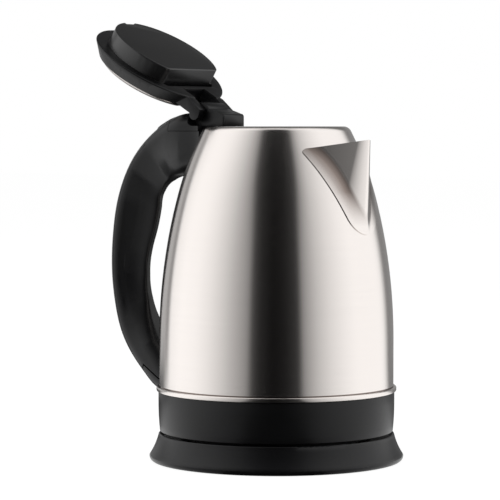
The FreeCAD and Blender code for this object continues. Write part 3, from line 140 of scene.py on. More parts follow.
# ABS reads as a deep black with a soft sheen; the tool's grain of about 0.2 mm is drawn at 0.8 mm to show.
black_abs = surface("moulded_black_abs", ("#09090a", "#0e0e10"), 25, 0.8, (0.3, 0.37), 0.004,
                    sockets={"Specular IOR Level": 0.32})
moulding("base_shell", "power_base", black_abs, 0.3)

# Underside of the base: a floor plate screwed on from below, and a soft ring that keeps it from sliding.
# The plate is the same ABS in a duller grade, the ring is pressed rubber, and the screws are plated steel.
dull_abs = surface("moulded_dull_abs", ("#151516", "#1c1c1d"), 18, 0.9, (0.5, 0.62), 0.008,
                   sockets={"Specular IOR Level": 0.3})
foot_rubber = surface("pressed_rubber", ("#101010", "#1a1a1a"), 8, 0.7, (0.72, 0.86), 0.02)
zinc_steel = surface("zinc_plated_steel", ("#b4b6b8", "#cfd1d2"), 3, 0.4, (0.28, 0.4), 0.004,
                     sockets={"Metallic": 1.0})
paint_nodes(dull_abs, "base_floor")
paint_nodes(foot_rubber, "foot_ring")
paint_nodes(zinc_steel, "base_screws")

# Round connector: a post in the middle of the dish with brass rings, and the socket under the kettle.
# Post and socket are heat-proof nylon; the contacts are turned brass, a little dulled by use.
nylon = surface("moulded_nylon", ("#1a1a1b", "#222223"), 12, 0.7, (0.44, 0.54), 0.006)
brass = surface("turned_brass", ("#b58d45", "#cfa85c"), 4, 0.3, (0.24, 0.38), 0.004, run=(1, 1, 6),
                sockets={"Metallic": 1.0})
paint_nodes(nylon, "base_plug", "kettle_socket")
paint_nodes(brass, "base_contacts", "socket_contacts")

# Lower band: the black skirt under the steel wall, closed from below by a screwed cover.
# Both are moulded ABS; the band carries the same satin skin as the base.
moulding("lower_band", "kettle", black_abs, 0.3)
paint_nodes(dull_abs, "bottom_cover")
paint_nodes(zinc_steel, "bottom_screws")

# Steel jug: one drawn stainless steel wall with a bead at its foot and a mouth turned down inside.
# It is brushed round and round on a lathe, which draws every reflection out into upright bands.
WALL = 0.8
WALL_R = 71.4
BELLY_Z = 74.0
BELLY_ARC_R = 345.0
SHOULDER_Z = 160.0
SHOULDER_ARC_R = 205.0
RIM_ARC_R = 5.0
RIM_Z = 203.5
MOUTH_R = 38.8
MOUTH_LIP = 5.0
MOUTH_ROUND = 0.7
HEM_R = 73.2
HEM_Z = 42.7
HEM_TOP_Z = 45.6
HEM_ROUND = 0.9
GROOVE_HEIGHT = 0.7
GROOVE_DEPTH = 0.45
WALL_STEPS = 24
ROUND_STEPS = 6
FOOT_STEPS = 6
MOUTH_STEPS = 5
SPIN_STEPS = 256
SPIN_MERGE_GAP = 0.005 * MM
belly_x = WALL_R - BELLY_ARC_R
shoulder_turn = math.asin((SHOULDER_Z - BELLY_Z) / BELLY_ARC_R)
shoulder_x = belly_x + (BELLY_ARC_R - SHOULDER_ARC_R) * math.cos(shoulder_turn)
shoulder_z = BELLY_Z + (BELLY_ARC_R - SHOULDER_ARC_R) * math.sin(shoulder_turn)
rim_turn = math.asin((RIM_Z - RIM_ARC_R - shoulder_z) / (SHOULDER_ARC_R - RIM_ARC_R))
rim_x = shoulder_x + (SHOULDER_ARC_R - RIM_ARC_R) * math.cos(rim_turn)


def arc(centre_x, centre_z, radius, first, last, steps):
    """Points of an arc in the (radius, height) plane, between two angles in radians."""
    turns = [first + (last - first) * i / steps for i in range(steps + 1)]
    return [(centre_x + radius * math.cos(t), centre_z + radius * math.sin(t)) for t in turns]


def jug_line(grow):
    """Wall from the belly to the top of the rim, moved out by grow."""
    belly = arc(belly_x, BELLY_Z, BELLY_ARC_R + grow, 0, shoulder_turn, WALL_STEPS)
    shoulder = arc(shoulder_x, shoulder_z, SHOULDER_ARC_R + grow, shoulder_turn, rim_turn, WALL_STEPS)
    rim = arc(rim_x, RIM_Z - RIM_ARC_R, RIM_ARC_R + grow, rim_turn, math.pi / 2, WALL_STEPS // 2)
    return belly + shoulder[1:] + rim[1:]


def lathe(name, outline):
    """Closed (radius, height) outline in millimetres spun about the upright axis."""
    bpy.ops.object.select_all(action="DESELECT")
    bpy.ops.mesh.primitive_circle_add(vertices=len(outline), radius=1, location=(0, 0, 0))
    piece = bpy.context.object
    piece.name = name
    for vertex, (radius, height) in zip(piece.data.vertices, outline):
        vertex.co = (radius * MM, 0, height * MM)
    bpy.ops.object.mode_set(mode="EDIT")
    bpy.ops.mesh.select_all(action="SELECT")
    bpy.ops.mesh.spin(steps=SPIN_STEPS, angle=2 * math.pi, center=(0, 0, 0), axis=(0, 0, 1))
    bpy.ops.mesh.select_all(action="SELECT")
    bpy.ops.mesh.remove_doubles(threshold=SPIN_MERGE_GAP)
    bpy.ops.mesh.normals_make_consistent(inside=False)
    bpy.ops.object.mode_set(mode="OBJECT")
    bpy.ops.object.shade_smooth_by_angle(angle=SHARP_ANGLE)
    return piece


foot = [(WALL_R - WALL, HEM_Z), (HEM_R - HEM_ROUND, HEM_Z)]
foot += arc(HEM_R - HEM_ROUND, HEM_Z + HEM_ROUND, HEM_ROUND, -math.pi / 2, 0, ROUND_STEPS)[1:]
foot += arc(HEM_R - HEM_ROUND, HEM_TOP_Z - HEM_ROUND, HEM_ROUND, 0, math.pi / 2, ROUND_STEPS)
foot += [(WALL_R - GROOVE_DEPTH, HEM_TOP_Z), (WALL_R - GROOVE_DEPTH, HEM_TOP_Z + GROOVE_HEIGHT)]
foot += [(WALL_R, HEM_TOP_Z + GROOVE_HEIGHT), (WALL_R, HEM_TOP_Z + 2 * GROOVE_HEIGHT)]
foot += [(WALL_R, HEM_TOP_Z + (BELLY_Z - HEM_TOP_Z) * i / FOOT_STEPS) for i in range(1, FOOT_STEPS)]
mouth = arc(MOUTH_R + MOUTH_ROUND, RIM_Z - MOUTH_ROUND, MOUTH_ROUND, math.pi / 2, math.pi, MOUTH_STEPS)
mouth += [(MOUTH_R, RIM_Z - MOUTH_LIP), (MOUTH_R + WALL, RIM_Z - MOUTH_LIP), (MOUTH_R + WALL, RIM_Z - WALL)]
inside = list(reversed(jug_line(-WALL)))
jug = lathe("steel_jug", foot + jug_line(0.0) + mouth + inside)

POUR_HOLE_R = 2.2
POUR_HOLE_PITCH = 6.4
POUR_HOLE_ROWS = 6
POUR_HOLE_Z = 150.0
POUR_HOLE_MARGIN = 11.0
POUR_DRILL = 12.0
STEAM_HOLE_R = 2.0
STEAM_HOLE_Y = 8.8
STEAM_HOLE_Z = 184.0
STEAM_DRILL = 24.0
BAR_SIDES = 32
SEAM_TOP_HALF = 32.6
SEAM_TOP_Z = 190.0
SEAM_LEAN = math.radians(22.9)


def wall_radius(z, grow=0.0):
    """Outer radius of the jug at a height below the rim's rounding."""
    if z <= BELLY_Z:
        return WALL_R + grow
    if z <= SHOULDER_Z:
        return belly_x + math.sqrt((BELLY_ARC_R + grow) ** 2 - (z - BELLY_Z) ** 2)
    return shoulder_x + math.sqrt((SHOULDER_ARC_R + grow) ** 2 - (z - shoulder_z) ** 2)


def seam_half(z):
    """Half width of the spout's flange at a height."""
    return SEAM_TOP_HALF - (SEAM_TOP_Z - z) * math.tan(SEAM_LEAN)


def drill(places, radius, depth):
    """Round bars across the wall, each at a place and a turn about the upright axis."""
    bars = []
    for x, y, z, turn in places:
        bpy.ops.object.select_all(action="DESELECT")
        bpy.ops.mesh.primitive_cylinder_add(vertices=BAR_SIDES, radius=radius * MM, depth=depth * MM,
                                            location=(x * MM, y * MM, z * MM),
                                            rotation=(0, math.pi / 2, turn))
        bars.append(bpy.context.object)
    return bars


def cut_away(piece, cutter):
    """Take a cutter out of a piece and clear it away."""
    pick(piece)
    cut = piece.modifiers.new("cut", "BOOLEAN")
    cut.operation = "DIFFERENCE"
    cut.solver = "EXACT"
    cut.object = cutter
    bpy.ops.object.modifier_apply(modifier=cut.name)
    bpy.data.objects.remove(cutter)


pours = []
for row in range(POUR_HOLE_ROWS):
    hole_z = POUR_HOLE_Z + row * POUR_HOLE_PITCH * math.sqrt(3) / 2
    offset = 0.5 * (row % 2)
    room = seam_half(hole_z) - POUR_HOLE_MARGIN
    count = max(0, int(room / POUR_HOLE_PITCH + offset))
    for step in range(-count, count + 1 - (row % 2)):
        hole_turn = math.asin((step + offset) * POUR_HOLE_PITCH / wall_radius(hole_z))
        reach = wall_radius(hole_z)
        pours.append((reach * math.cos(hole_turn), reach * math.sin(hole_turn), hole_z, hole_turn))
steam_x = -math.sqrt(wall_radius(STEAM_HOLE_Z) ** 2 - STEAM_HOLE_Y ** 2)
bars = drill(pours, POUR_HOLE_R, POUR_DRILL)
bars += drill([(steam_x, STEAM_HOLE_Y, STEAM_HOLE_Z, 0)], STEAM_HOLE_R, STEAM_DRILL)
bpy.ops.object.select_all(action="DESELECT")
for bar in bars:
    bar.select_set(True)
bpy.context.view_layer.objects.active = bars[0]
bpy.ops.object.join()
cut_away(jug, bars[0])
bpy.ops.object.shade_smooth_by_angle(angle=SHARP_ANGLE)
# The groove over the bead is marked for painted shade, which darkens the steel's colour in it.
GROOVE_MARGIN = 0.1
dull_and_painted_shade = jug.data.attributes.new("dull_and_painted_shade", "FLOAT", "POINT")
for vertex in jug.data.vertices:
    out = math.hypot(vertex.co.x, vertex.co.y) / MM
    up = vertex.co.z / MM - HEM_TOP_Z
    at_groove = -GROOVE_MARGIN < up < GROOVE_HEIGHT + GROOVE_MARGIN
    if at_groove and WALL_R - WALL + GROOVE_MARGIN < out < WALL_R - GROOVE_MARGIN:
        dull_and_painted_shade.data[vertex.index].value = 1.0

# Brushed stainless steel: a warm light grey with hair lines of about 0.1 mm, drawn at 0.5 mm to show.
# The lines run level round the jug, so gloss spreads upright; the tangent is turned by a quarter.
# A point attribute darkens it: painted shade in the groove over the bead, and weld dulling with painted shade
# by the spout.
brushed_steel = surface("brushed_stainless_steel", ("#e8e2de", "#eae4e0"), 60, 40, (0.2, 0.212), 0.0005,
                        run=(1, 1, 80), sockets={"Metallic": 1.0, "Anisotropic": 0.85,
                                                 "Anisotropic Rotation": 0.25})
steel_tree = brushed_steel.node_tree
steel_shader = steel_tree.nodes["Principled BSDF"]
turned = add_node(steel_tree, "ShaderNodeTangent", {"direction_type": "RADIAL", "axis": "Z"})
steel_tree.links.new(turned.outputs["Tangent"], steel_shader.inputs["Tangent"])
clean_steel = steel_shader.inputs["Base Color"].links[0].from_socket
# The marked share multiplies the steel's colour dark: painted shade, and weld dulling at the spout.
dull_and_shade_share = add_node(steel_tree, "ShaderNodeAttribute", {"attribute_name": "dull_and_painted_shade"})
dull_and_shade_tint = add_node(steel_tree, "ShaderNodeMix",
                   {"data_type": "RGBA", "blend_type": "MULTIPLY", "B": linear("#958c88")},
                   {"Factor": dull_and_shade_share.outputs["Fac"], "A": clean_steel})
steel_tree.links.new(dull_and_shade_tint.outputs["Result"], steel_shader.inputs["Base Color"])
paint(jug, brushed_steel)
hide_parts("steel_body")
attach(jug, "kettle")

# Heater under the water: a steel floor plate, an aluminium spreader, the tubular element and its thermostat.
# Plate and element are bright steel, the spreader is rolled aluminium, the thermostat is moulded nylon.
bright_steel = surface("bright_stainless_steel", ("#c9c7c4", "#d6d4d1"), 30, 1.5, (0.22, 0.32), 0.002,
                       sockets={"Metallic": 1.0})
rolled_aluminium = surface("rolled_aluminium", ("#b9babc", "#cdced0"), 20, 1.2, (0.34, 0.46), 0.004,
                           run=(1, 8, 1), sockets={"Metallic": 1.0})
paint_nodes(bright_steel, "heater_plate", "heating_element", "thermostat_discs")
paint_nodes(rolled_aluminium, "heater_disc")
paint_nodes(nylon, "thermostat")

# Spout: a V beak pressed from steel sheet, whose flange lies on the wall and is welded along its edge.
# Flange and rim are dulled by the weld and carry painted shade in the hollow by the V; the V's sides are
# brushed like the jug.
SPOUT_WALL = 0.5
FLANGE_LIFT = 0.55
SPOUT_TIP = (66.9, 195.5)
SPOUT_TIP_LEAN = 0.04
SPOUT_TOP_SLOPE = math.radians(10.9)
SPOUT_FACE_TURN = math.radians(45.5)
SPOUT_NOSE_TURN = math.radians(24.5)
SPOUT_NOSE_SHARE = 0.14
SPOUT_BEND_R = 17.3
SPOUT_BEND_GROWTH = 0.5
SPOUT_BLEND = 1.8
SPOUT_CORNER_R = 1.8
SEAM_BOTTOM_Z = 139.3
DARKENING_DEEPEST = 1.2
DARKENING_FADE = 11.0
DARKENING_EDGE = 5.0
DARKENING_FOOT_Z = 144.0
DARKENING_FULL_Z = 165.0
DARKENING_SEAM_SHARE = 0.6
SPOUT_SHARP = math.radians(40)
SPOUT_CORNER_SHARE = 0.98
SPOUT_COLUMNS = 260
SPOUT_ROWS = 100
TOP_ROUNDS = 8
EDGE_ROUNDS = 20
seam_round = seam_half(SEAM_BOTTOM_Z) / (1 / math.cos(SEAM_LEAN) - math.tan(SEAM_LEAN))


def flange_x(y, z):
    """How far out the flange stands on the wall."""
    return math.sqrt(wall_radius(z, FLANGE_LIFT) ** 2 - y * y)


def beak_x(y, z):
    """How far out the V stands: a narrow nose, a slow bend and a flat side, all growing blunter downwards."""
    down = SPOUT_TIP[1] - z
    side = abs(y)
    bend_r = SPOUT_BEND_R + down * SPOUT_BEND_GROWTH
    nose_r = bend_r * SPOUT_NOSE_SHARE
    nose_x = SPOUT_TIP[0] - down * SPOUT_TIP_LEAN - nose_r
    if side < nose_r * math.sin(SPOUT_NOSE_TURN):
        return nose_x + math.sqrt(nose_r ** 2 - side ** 2)
    bend_x = nose_x + (nose_r - bend_r) * math.cos(SPOUT_NOSE_TURN)
    bend_y = (nose_r - bend_r) * math.sin(SPOUT_NOSE_TURN)
    flat_y = bend_y + bend_r * math.sin(SPOUT_FACE_TURN)
    if side < flat_y:
        return bend_x + math.sqrt(bend_r ** 2 - (side - bend_y) ** 2)
    return bend_x + bend_r * math.cos(SPOUT_FACE_TURN) - (side - flat_y) * math.tan(SPOUT_FACE_TURN)


def weld_dull_and_hollow_shade(y, z):
    """Share of darkening, weld dulling with painted shade: most in the hollow beside the V, less at the seam,
    none at its foot.
    """
    hollow = flange_x(y, z) - beak_x(y, z)
    off_beak = min(max((hollow + 2 * DARKENING_DEEPEST) / DARKENING_DEEPEST, 0), 1)
    near_beak = 1 - max(hollow - DARKENING_DEEPEST, 0) / DARKENING_FADE
    off_seam = min(max((seam_half(z) - abs(y)) / DARKENING_EDGE, 0), 1)
    seam = DARKENING_SEAM_SHARE + (1 - DARKENING_SEAM_SHARE) * off_seam
    off_foot = min(max((z - DARKENING_FOOT_Z) / (DARKENING_FULL_Z - DARKENING_FOOT_Z), 0), 1)
    return off_beak * max(near_beak, 0) * seam * off_foot


def sheet_x(y, z):
    """Flange or V, whichever stands further out, with a small hollow between them."""
    flange = flange_x(y, z)
    beak = beak_x(y, z)
    near = max(SPOUT_BLEND - abs(flange - beak), 0) / SPOUT_BLEND
    return max(flange, beak) + near * near * SPOUT_BLEND / 4


def seam_z(y):
    """Lower edge of the flange: a round bottom and two leaning sides."""
    touch_y = seam_round * math.cos(SEAM_LEAN)
    if abs(y) < touch_y:
        return SEAM_BOTTOM_Z + seam_round - math.sqrt(seam_round ** 2 - y * y)
    return SEAM_TOP_Z - (SEAM_TOP_HALF - abs(y)) / math.tan(SEAM_LEAN)


def top_z(y):
    """Upper edge of the sheet, which falls from the tip towards the jug."""
    z = SPOUT_TIP[1]
    for _ in range(TOP_ROUNDS):
        z = SPOUT_TIP[1] - (SPOUT_TIP[0] - sheet_x(y, z)) * math.tan(SPOUT_TOP_SLOPE)
    return z


edge_y = SEAM_TOP_HALF
for _ in range(EDGE_ROUNDS):
    edge_y = SEAM_TOP_HALF - (SEAM_TOP_Z - top_z(edge_y)) * math.tan(SEAM_LEAN)
corner_z = top_z(edge_y) - SPOUT_CORNER_R
corner_y = seam_half(corner_z) - SPOUT_CORNER_R / math.cos(SEAM_LEAN)
bpy.ops.object.select_all(action="DESELECT")
bpy.ops.mesh.primitive_grid_add(x_subdivisions=SPOUT_COLUMNS, y_subdivisions=SPOUT_ROWS, size=2,
                                location=(0, 0, 0))
spout = bpy.context.object
spout.name = "pressed_spout"
# Each point's share of darkening: weld dulling with painted shade, most in the hollow beside the V.
dull_and_painted_shade = spout.data.attributes.new("dull_and_painted_shade", "FLOAT", "POINT")
for vertex in spout.data.vertices:
    y = vertex.co.x * (corner_y + SPOUT_CORNER_SHARE * SPOUT_CORNER_R)
    low = seam_z(y)
    high = top_z(y)
    past = abs(y) - corner_y
    if past > 0:
        rise = math.sqrt(SPOUT_CORNER_R ** 2 - past * past)
        high = min(high, corner_z + rise)
        if past > SPOUT_CORNER_R * math.cos(SEAM_LEAN):
            low = corner_z - rise
    z = low + (high - low) * (vertex.co.y + 1) / 2
    vertex.co = (sheet_x(y, z) * MM, y * MM, z * MM)
    dull_and_painted_shade.data[vertex.index].value = weld_dull_and_hollow_shade(y, z)
pick(spout)
bpy.ops.object.mode_set(mode="EDIT")
bpy.ops.mesh.select_all(action="SELECT")
bpy.ops.mesh.normals_make_consistent(inside=False)
bpy.ops.object.mode_set(mode="OBJECT")
thick = spout.modifiers.new("sheet", "SOLIDIFY")
thick.thickness = SPOUT_WALL * MM
thick.offset = -1
bpy.ops.object.modifier_apply(modifier=thick.name)
bpy.ops.object.shade_smooth_by_angle(angle=SPOUT_SHARP)
paint(spout, brushed_steel)
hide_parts("spout")
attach(spout, "kettle")

# Handle: a hollow front grip closed by a back strip, screwed to brackets that are welded to the wall.
# Grip and strip are black ABS, egg-shaped in section; the brackets are bright steel, the screws zinc plated.

# Middle line from the mouth to the foot: x and z in mm, direction of the outer face in degrees,
# half thickness in mm, and how far the section turns from a rounded bar into an egg.
GRIP_LINE = (
    (-44.0, 195.2, 90, 18.2, 0.0),
    (-60.0, 194.0, 92, 17.3, 0.0),
    (-73.9, 190.3, 98, 15.7, 0.3),
    (-86.2, 184.6, 116, 13.1, 0.8),
    (-97.6, 173.3, 138, 11.9, 1.0),
    (-104.5, 157.1, 166, 12.6, 1.0),
    (-108.3, 139.6, 176, 12.5, 1.0),
    (-110.9, 124.5, 180, 11.0, 1.0),
    (-111.5, 110.0, 181, 10.3, 1.0),
    (-109.1, 92.8, 187, 10.4, 0.8),
    (-103.6, 77.4, 197, 11.0, 0.4),
    (-94.9, 64.5, 209, 11.3, 0.0),
    (-85.3, 53.6, 222, 10.6, 0.0),
)
EGG_NARROWS = 0.64
EGG_DEEPENS = 0.31
EGG_SPAN = 0.8
INWARD = -0.5
STRIP_SEAT = 0.28


def between(first, last, share):
    """Station a share of the way from one to the next."""
    return [a + (b - a) * share for a, b in zip(first, last)]


def grip_section(x, z):
    """Station of the handle at a point in mm, between the two of the line that lie on either side of it."""
    found = None
    for first, last in zip(GRIP_LINE, GRIP_LINE[1:]):
        ahead = []
        for station in (first, last):
            turn = math.radians(station[2])
            ahead.append((z - station[1]) * math.cos(turn) - (x - station[0]) * math.sin(turn))
        if ahead[0] >= 0 > ahead[1]:
            station = between(first, last, ahead[0] / (ahead[0] - ahead[1]))
            reach = math.hypot(x - station[0], z - station[1])
            if found is None or reach < found[0]:
                found = (reach, station)
    return found[1] if found else None


def soften(piece, seated_mm):
    """Draw the side towards the jug together and a little deeper, into an egg.

    Faces that look at the jug also move towards it by seated_mm, which closes the strip's joint.
    """
    facings = [(vertex.normal.x, vertex.normal.z) for vertex in piece.data.vertices]
    for vertex, (facing_x, facing_z) in zip(piece.data.vertices, facings):
        x, y, z = vertex.co / MM
        station = grip_section(x, z)
        if station is None:
            continue
        middle_x, middle_z, turn, thick, soft = station
        out_x = math.cos(math.radians(turn))
        out_z = math.sin(math.radians(turn))
        out = (x - middle_x) * out_x + (z - middle_z) * out_z
        deeper = EGG_DEEPENS * soft * min(out, 0)
        if facing_x * out_x + facing_z * out_z < INWARD:
            deeper -= seated_mm
        share = min(max(0.5 - out / (2 * EGG_SPAN * thick), 0), 1)
        narrower = EGG_NARROWS * soft * share * share * (3 - 2 * share)
        vertex.co = ((x + deeper * out_x) * MM, y * (1 - narrower) * MM, (z + deeper * out_z) * MM)


grip = moulding("handle_grip", "kettle", black_abs, 0.4)
strip = moulding("handle_back", "kettle", black_abs, 0.4)
soften(grip, 0.0)
soften(strip, STRIP_SEAT)
paint_nodes(bright_steel, "handle_brackets")
paint_nodes(zinc_steel, "handle_screws")

# Steam way inside the handle: a tube from the jug down to the switch unit at the handle's foot.
# Tube and unit are moulded nylon, and the paddle swings on a bright steel pin.
paint_nodes(nylon, "steam_tube", "steam_switch")
paint_nodes(bright_steel, "switch_pin")
moulding("power_switch", "switch", black_abs, 0.4)

# Hinge housing: the top of the handle, with a centre block between the arms of the lid.
# It is black ABS; the lid swings on a blackened steel pin and a wound spring throws it open.
# The block stands on the rim, and the joint of its front cap shows as a narrow groove on either side.
BLOCK_HALF = 10.25
BLOCK_FRONT_X = -31.5
BLOCK_TOP_Z = 209.3
BLOCK_FOOT = 5.0
BLOCK_DROP = 0.25
JOINT_WIDE = 0.5
JOINT_DEEP = 0.6
housing = moulding("hinge_housing", "kettle", black_abs, 0.25)
for vertex in housing.data.vertices:
    if vertex.co.x > (BLOCK_FRONT_X - BLOCK_FOOT) * MM and vertex.co.z < (RIM_Z + 2 * BLOCK_DROP) * MM:
        vertex.co.z -= BLOCK_DROP * MM
joint_x = BLOCK_FRONT_X - 2 * JOINT_WIDE
for side in (-BLOCK_HALF, BLOCK_HALF):
    bpy.ops.object.select_all(action="DESELECT")
    bpy.ops.mesh.primitive_cube_add(size=MM, location=(joint_x * MM, side * MM, RIM_Z * MM))
    joint = bpy.context.object
    joint.scale = (JOINT_WIDE, 2 * JOINT_DEEP, 2 * (BLOCK_TOP_Z - RIM_Z))
    bpy.ops.object.transform_apply(location=False, rotation=False, scale=True)
    cut_away(housing, joint)
bpy.ops.object.shade_smooth_by_angle(angle=SHARP_ANGLE)
black_steel = surface("blackened_spring_steel", ("#1b1b1c", "#262627"), 2, 0.2, (0.4, 0.5), 0.003,
                      sockets={"Metallic": 1.0})
paint_nodes(black_steel, "hinge_pin", "lid_spring")

# Lid release: a button let into the top of the handle, with its spring and the rocker that frees the lid.
# Button and rocker are black ABS, the pin is bright steel.
moulding("lid_button", "button", black_abs, 0.5)
paint_nodes(black_steel, "button_spring")
paint_nodes(dull_abs, "release_lever")
paint_nodes(bright_steel, "lever_pin")

# Lid: a black cover with two hinge arms, a D-shaped cup under it and a brushed steel disc on top.
# Cover and cup are black ABS, the cup polished.
# Three screws hold them together and the disc is pressed into the cover.
moulding("lid_cover", "lid", black_abs, 0.15)
polished_abs = surface("polished_black_abs", ("#0b0b0c", "#101011"), 25, 0.8, (0.26, 0.32), 0.002,
                       sockets={"Specular IOR Level": 0.7})
moulding("lid_inner", "lid", polished_abs, 0.4)
moulding("lid_plate", "lid", brushed_steel, 0)
paint_nodes(zinc_steel, "lid_screws")

# Studio: a white floor that fades into a white background and still takes the kettle's shadow.
# Soft lamps stand left, right and above. A round screen, seen only in gloss, darkens towards the camera
# and gives the steel its dark and light bands.
FLOOR_SIZE = 14.0
FLOOR_GLOW = 0.93


def seen_rays(tree):
    """Socket that is one for rays from the camera, from a glossy surface or through a clear one."""
    ray = add_node(tree, "ShaderNodeLightPath")
    seen = add_node(tree, "ShaderNodeMath", {"operation": "MAXIMUM"},
                    {0: ray.outputs["Is Camera Ray"], 1: ray.outputs["Is Glossy Ray"]})
    seen = add_node(tree, "ShaderNodeMath", {"operation": "MAXIMUM"},
                    {0: seen.outputs["Value"], 1: ray.outputs["Is Transmission Ray"]})
    return seen.outputs["Value"]


bpy.ops.object.select_all(action="DESELECT")
bpy.ops.mesh.primitive_plane_add(size=FLOOR_SIZE, location=(0, 0, 0))
floor = bpy.context.object
floor.name = "studio_floor"
white_floor = bpy.data.materials.new("white_floor")
white_floor.use_nodes = True
floor_tree = white_floor.node_tree
floor_tree.nodes.clear()
# Other light meets a pale cloth. To the eye it is a grey one that glows, which keeps the shadow soft.
seen = seen_rays(floor_tree)
cloth = add_node(floor_tree, "ShaderNodeMix",
                 {"data_type": "RGBA", "A": linear("#e6e6e6"), "B": linear("#707070")}, {"Factor": seen})
matt = add_node(floor_tree, "ShaderNodeBsdfDiffuse", None, {"Color": cloth.outputs["Result"]})
lit = add_node(floor_tree, "ShaderNodeMath", {"operation": "MULTIPLY", 1: FLOOR_GLOW}, {0: seen})
glow = add_node(floor_tree, "ShaderNodeEmission", {"Color": linear("#ffffff")},
                {"Strength": lit.outputs["Value"]})
both = add_node(floor_tree, "ShaderNodeAddShader", None,
                {0: matt.outputs["BSDF"], 1: glow.outputs["Emission"]})
add_node(floor_tree, "ShaderNodeOutputMaterial", None, {"Surface": both.outputs["Shader"]})
paint(floor, white_floor)

ROOM_LIGHT = 0.4
world = bpy.data.worlds.new("white_studio")
bpy.context.scene.world = world
world.use_nodes = True
world_tree = world.node_tree
world_tree.nodes.clear()
level = add_node(world_tree, "ShaderNodeMapRange", {"To Min": ROOM_LIGHT, "To Max": 1.0},
                 {"Value": seen_rays(world_tree)})
sky = add_node(world_tree, "ShaderNodeBackground", {"Color": linear("#ffffff")},
               {"Strength": level.outputs["Result"]})
add_node(world_tree, "ShaderNodeOutputWorld", None, {"Surface": sky.outputs["Background"]})

VIEW_AZIMUTH = math.radians(34.5)
view_back = Vector((math.sin(VIEW_AZIMUTH), -math.cos(VIEW_AZIMUTH), 0))
view_right = Vector((math.cos(VIEW_AZIMUTH), math.sin(VIEW_AZIMUTH), 0))
SCREEN_R = 1.25
SCREEN_TOP = 6.0
SCREEN_SIDES = 128
MAT_RIM = 0.003
MAT_CENTRE = 0.0003
bpy.ops.object.select_all(action="DESELECT")
bpy.ops.mesh.primitive_circle_add(vertices=SCREEN_SIDES, radius=SCREEN_R, fill_type="TRIFAN",
                                  location=(0, 0, MAT_RIM))
mat = bpy.context.object
for vertex in mat.data.vertices:
    if vertex.co.length < 0.5 * SCREEN_R:
        vertex.co.z = MAT_CENTRE - MAT_RIM
bpy.ops.mesh.primitive_cylinder_add(vertices=SCREEN_SIDES, radius=SCREEN_R, depth=SCREEN_TOP,
                                    end_fill_type="NOTHING", location=(0, 0, SCREEN_TOP / 2))
screen = bpy.context.object
mat.select_set(True)
bpy.ops.object.join()
bpy.ops.object.transform_apply(location=True)
screen.name = "studio_screen"
screen_cloth = bpy.data.materials.new("screen_cloth")
screen_cloth.use_nodes = True
screen_tree = screen_cloth.node_tree
screen_tree.nodes.clear()
place = add_node(screen_tree, "ShaderNodeTexCoord")
facing = add_node(screen_tree, "ShaderNodeMapping",
                  {"Rotation": (0, 0, math.pi / 2 - VIEW_AZIMUTH)}, {"Vector": place.outputs["Object"]})
sweep = add_node(screen_tree, "ShaderNodeTexGradient", {"gradient_type": "RADIAL"},
                 {"Vector": facing.outputs["Vector"]})
# Degrees to the right of the camera, and how bright it is there: on the mat near the kettle,
# on the rest of the mat and low on the screen, and high on it, where the dark middle is a little wider.
FRONT_SHADES = ((-125, 1.05), (-105, 1.2), (-84, 1.15), (-68, 1.0), (-54, 0.78), (-41, 0.53), (-27, 0.3),
                (-23, 0.06), (-16, 0.02), (-4, 0.006), (8, 0.012), (21, 0.035), (25, 0.3), (39, 0.63),
                (52, 0.86), (66, 1.03), (81, 1.15), (118, 1.15), (126, 1.05))
FLOOR_SHADES = ((-180, 0.04), (-138, 0.05)) + FRONT_SHADES + ((137, 0.2), (160, 0.2), (180, 0.04))
LOW_SHADES = ((-180, 0.45), (-150, 0.5), (-137, 0.48), (-134, 0.3), (-129, 0.28)) + FRONT_SHADES
LOW_SHADES += ((138, 0.24), (180, 0.3))
WIDER = 1.16
MIDDLE = 30
WIDE_FRONT = tuple((turn * WIDER if abs(turn) < MIDDLE else turn, bright) for turn, bright in FRONT_SHADES)
HIGH_SHADES = ((-180, 0.12), (-150, 0.14), (-138, 0.2)) + WIDE_FRONT + ((138, 0.14), (180, 0.12))
MAT_FADE = (0.0014, 0.0018)
SCREEN_FADE = (0.5, 0.9)
shades = []
for steps in (FLOOR_SHADES, LOW_SHADES, HIGH_SHADES):
    shade = add_node(screen_tree, "ShaderNodeValToRGB", None, {"Fac": sweep.outputs["Fac"]})
    ramp = shade.color_ramp
    ramp.elements.remove(ramp.elements[1])
    for index, (degrees, bright) in enumerate(steps):
        stop = ramp.elements[0] if index == 0 else ramp.elements.new(0.5 + degrees / 360)
        stop.position = 0.5 + degrees / 360
        stop.color = (bright, bright, bright, 1)
    shades.append(shade)
split = add_node(screen_tree, "ShaderNodeSeparateXYZ", None, {"Vector": place.outputs["Object"]})
tone = shades[0].outputs["Color"]
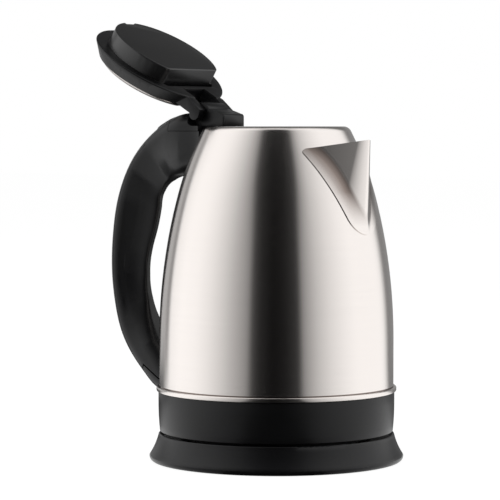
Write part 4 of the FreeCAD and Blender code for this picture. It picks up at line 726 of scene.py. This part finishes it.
for shade, (low, high) in zip(shades[1:], (MAT_FADE, SCREEN_FADE)):
    height = add_node(screen_tree, "ShaderNodeMapRange", {"From Min": low, "From Max": high},
                      {"Value": split.outputs["Z"]})
    blend = add_node(screen_tree, "ShaderNodeMix", {"data_type": "RGBA"},
                     {"Factor": height.outputs["Result"], "A": tone, "B": shade.outputs["Color"]})
    tone = blend.outputs["Result"]
shine = add_node(screen_tree, "ShaderNodeEmission", {"Strength": 1.0}, {"Color": tone})
add_node(screen_tree, "ShaderNodeOutputMaterial", None, {"Surface": shine.outputs["Emission"]})
paint(screen, screen_cloth)
screen.visible_camera = False
screen.visible_diffuse = False
screen.visible_shadow = False
screen.visible_transmission = False

# Lamps: name, metres to the right of the kettle, up, and towards the camera, then size and power in watts.
LAMP_AIM = Vector((0, 0, 0.12))
LAMPS = (("left_softbox", -1.5, 1.0, 0.3, 1.4, 9.0),
         ("right_softbox", 1.5, 1.0, 0.3, 1.4, 9.0),
         ("top_softbox", 0.0, 1.9, 0.2, 1.6, 12.0))
for name, right, height, towards, size, watts in LAMPS:
    lamp = bpy.data.lights.new(name, "AREA")
    lamp.shape = "SQUARE"
    lamp.size = size
    lamp.energy = watts
    holder = bpy.data.objects.new(name, lamp)
    bpy.context.scene.collection.objects.link(holder)
    spot = view_right * right + view_back * towards + Vector((0, 0, height))
    holder.location = spot
    holder.rotation_euler = (LAMP_AIM - spot).to_track_quat("-Z", "Y").to_euler()
    holder.visible_glossy = False
    holder.visible_camera = False

# Camera: a long lens level with the jug's rim, turned from the kettle's near side towards its spout.
CAMERA_DISTANCE = 1.5
CAMERA_HEIGHT = 0.2035
FOCAL_LENGTH = 177.5
SENSOR_WIDTH = 36.0
AIM_RIGHT = -0.0161
AIM_HEIGHT = 0.1283
aim = view_right * AIM_RIGHT + Vector((0, 0, AIM_HEIGHT))
camera = bpy.data.objects.new("camera", bpy.data.cameras.new("camera"))
bpy.context.scene.collection.objects.link(camera)
camera.location = view_back * CAMERA_DISTANCE + Vector((0, 0, CAMERA_HEIGHT))
camera.rotation_euler = (aim - camera.location).to_track_quat("-Z", "Y").to_euler()
camera.data.lens = FOCAL_LENGTH
camera.data.sensor_width = SENSOR_WIDTH
bpy.context.scene.camera = camera
bpy.context.scene.view_settings.view_transform = "Standard"
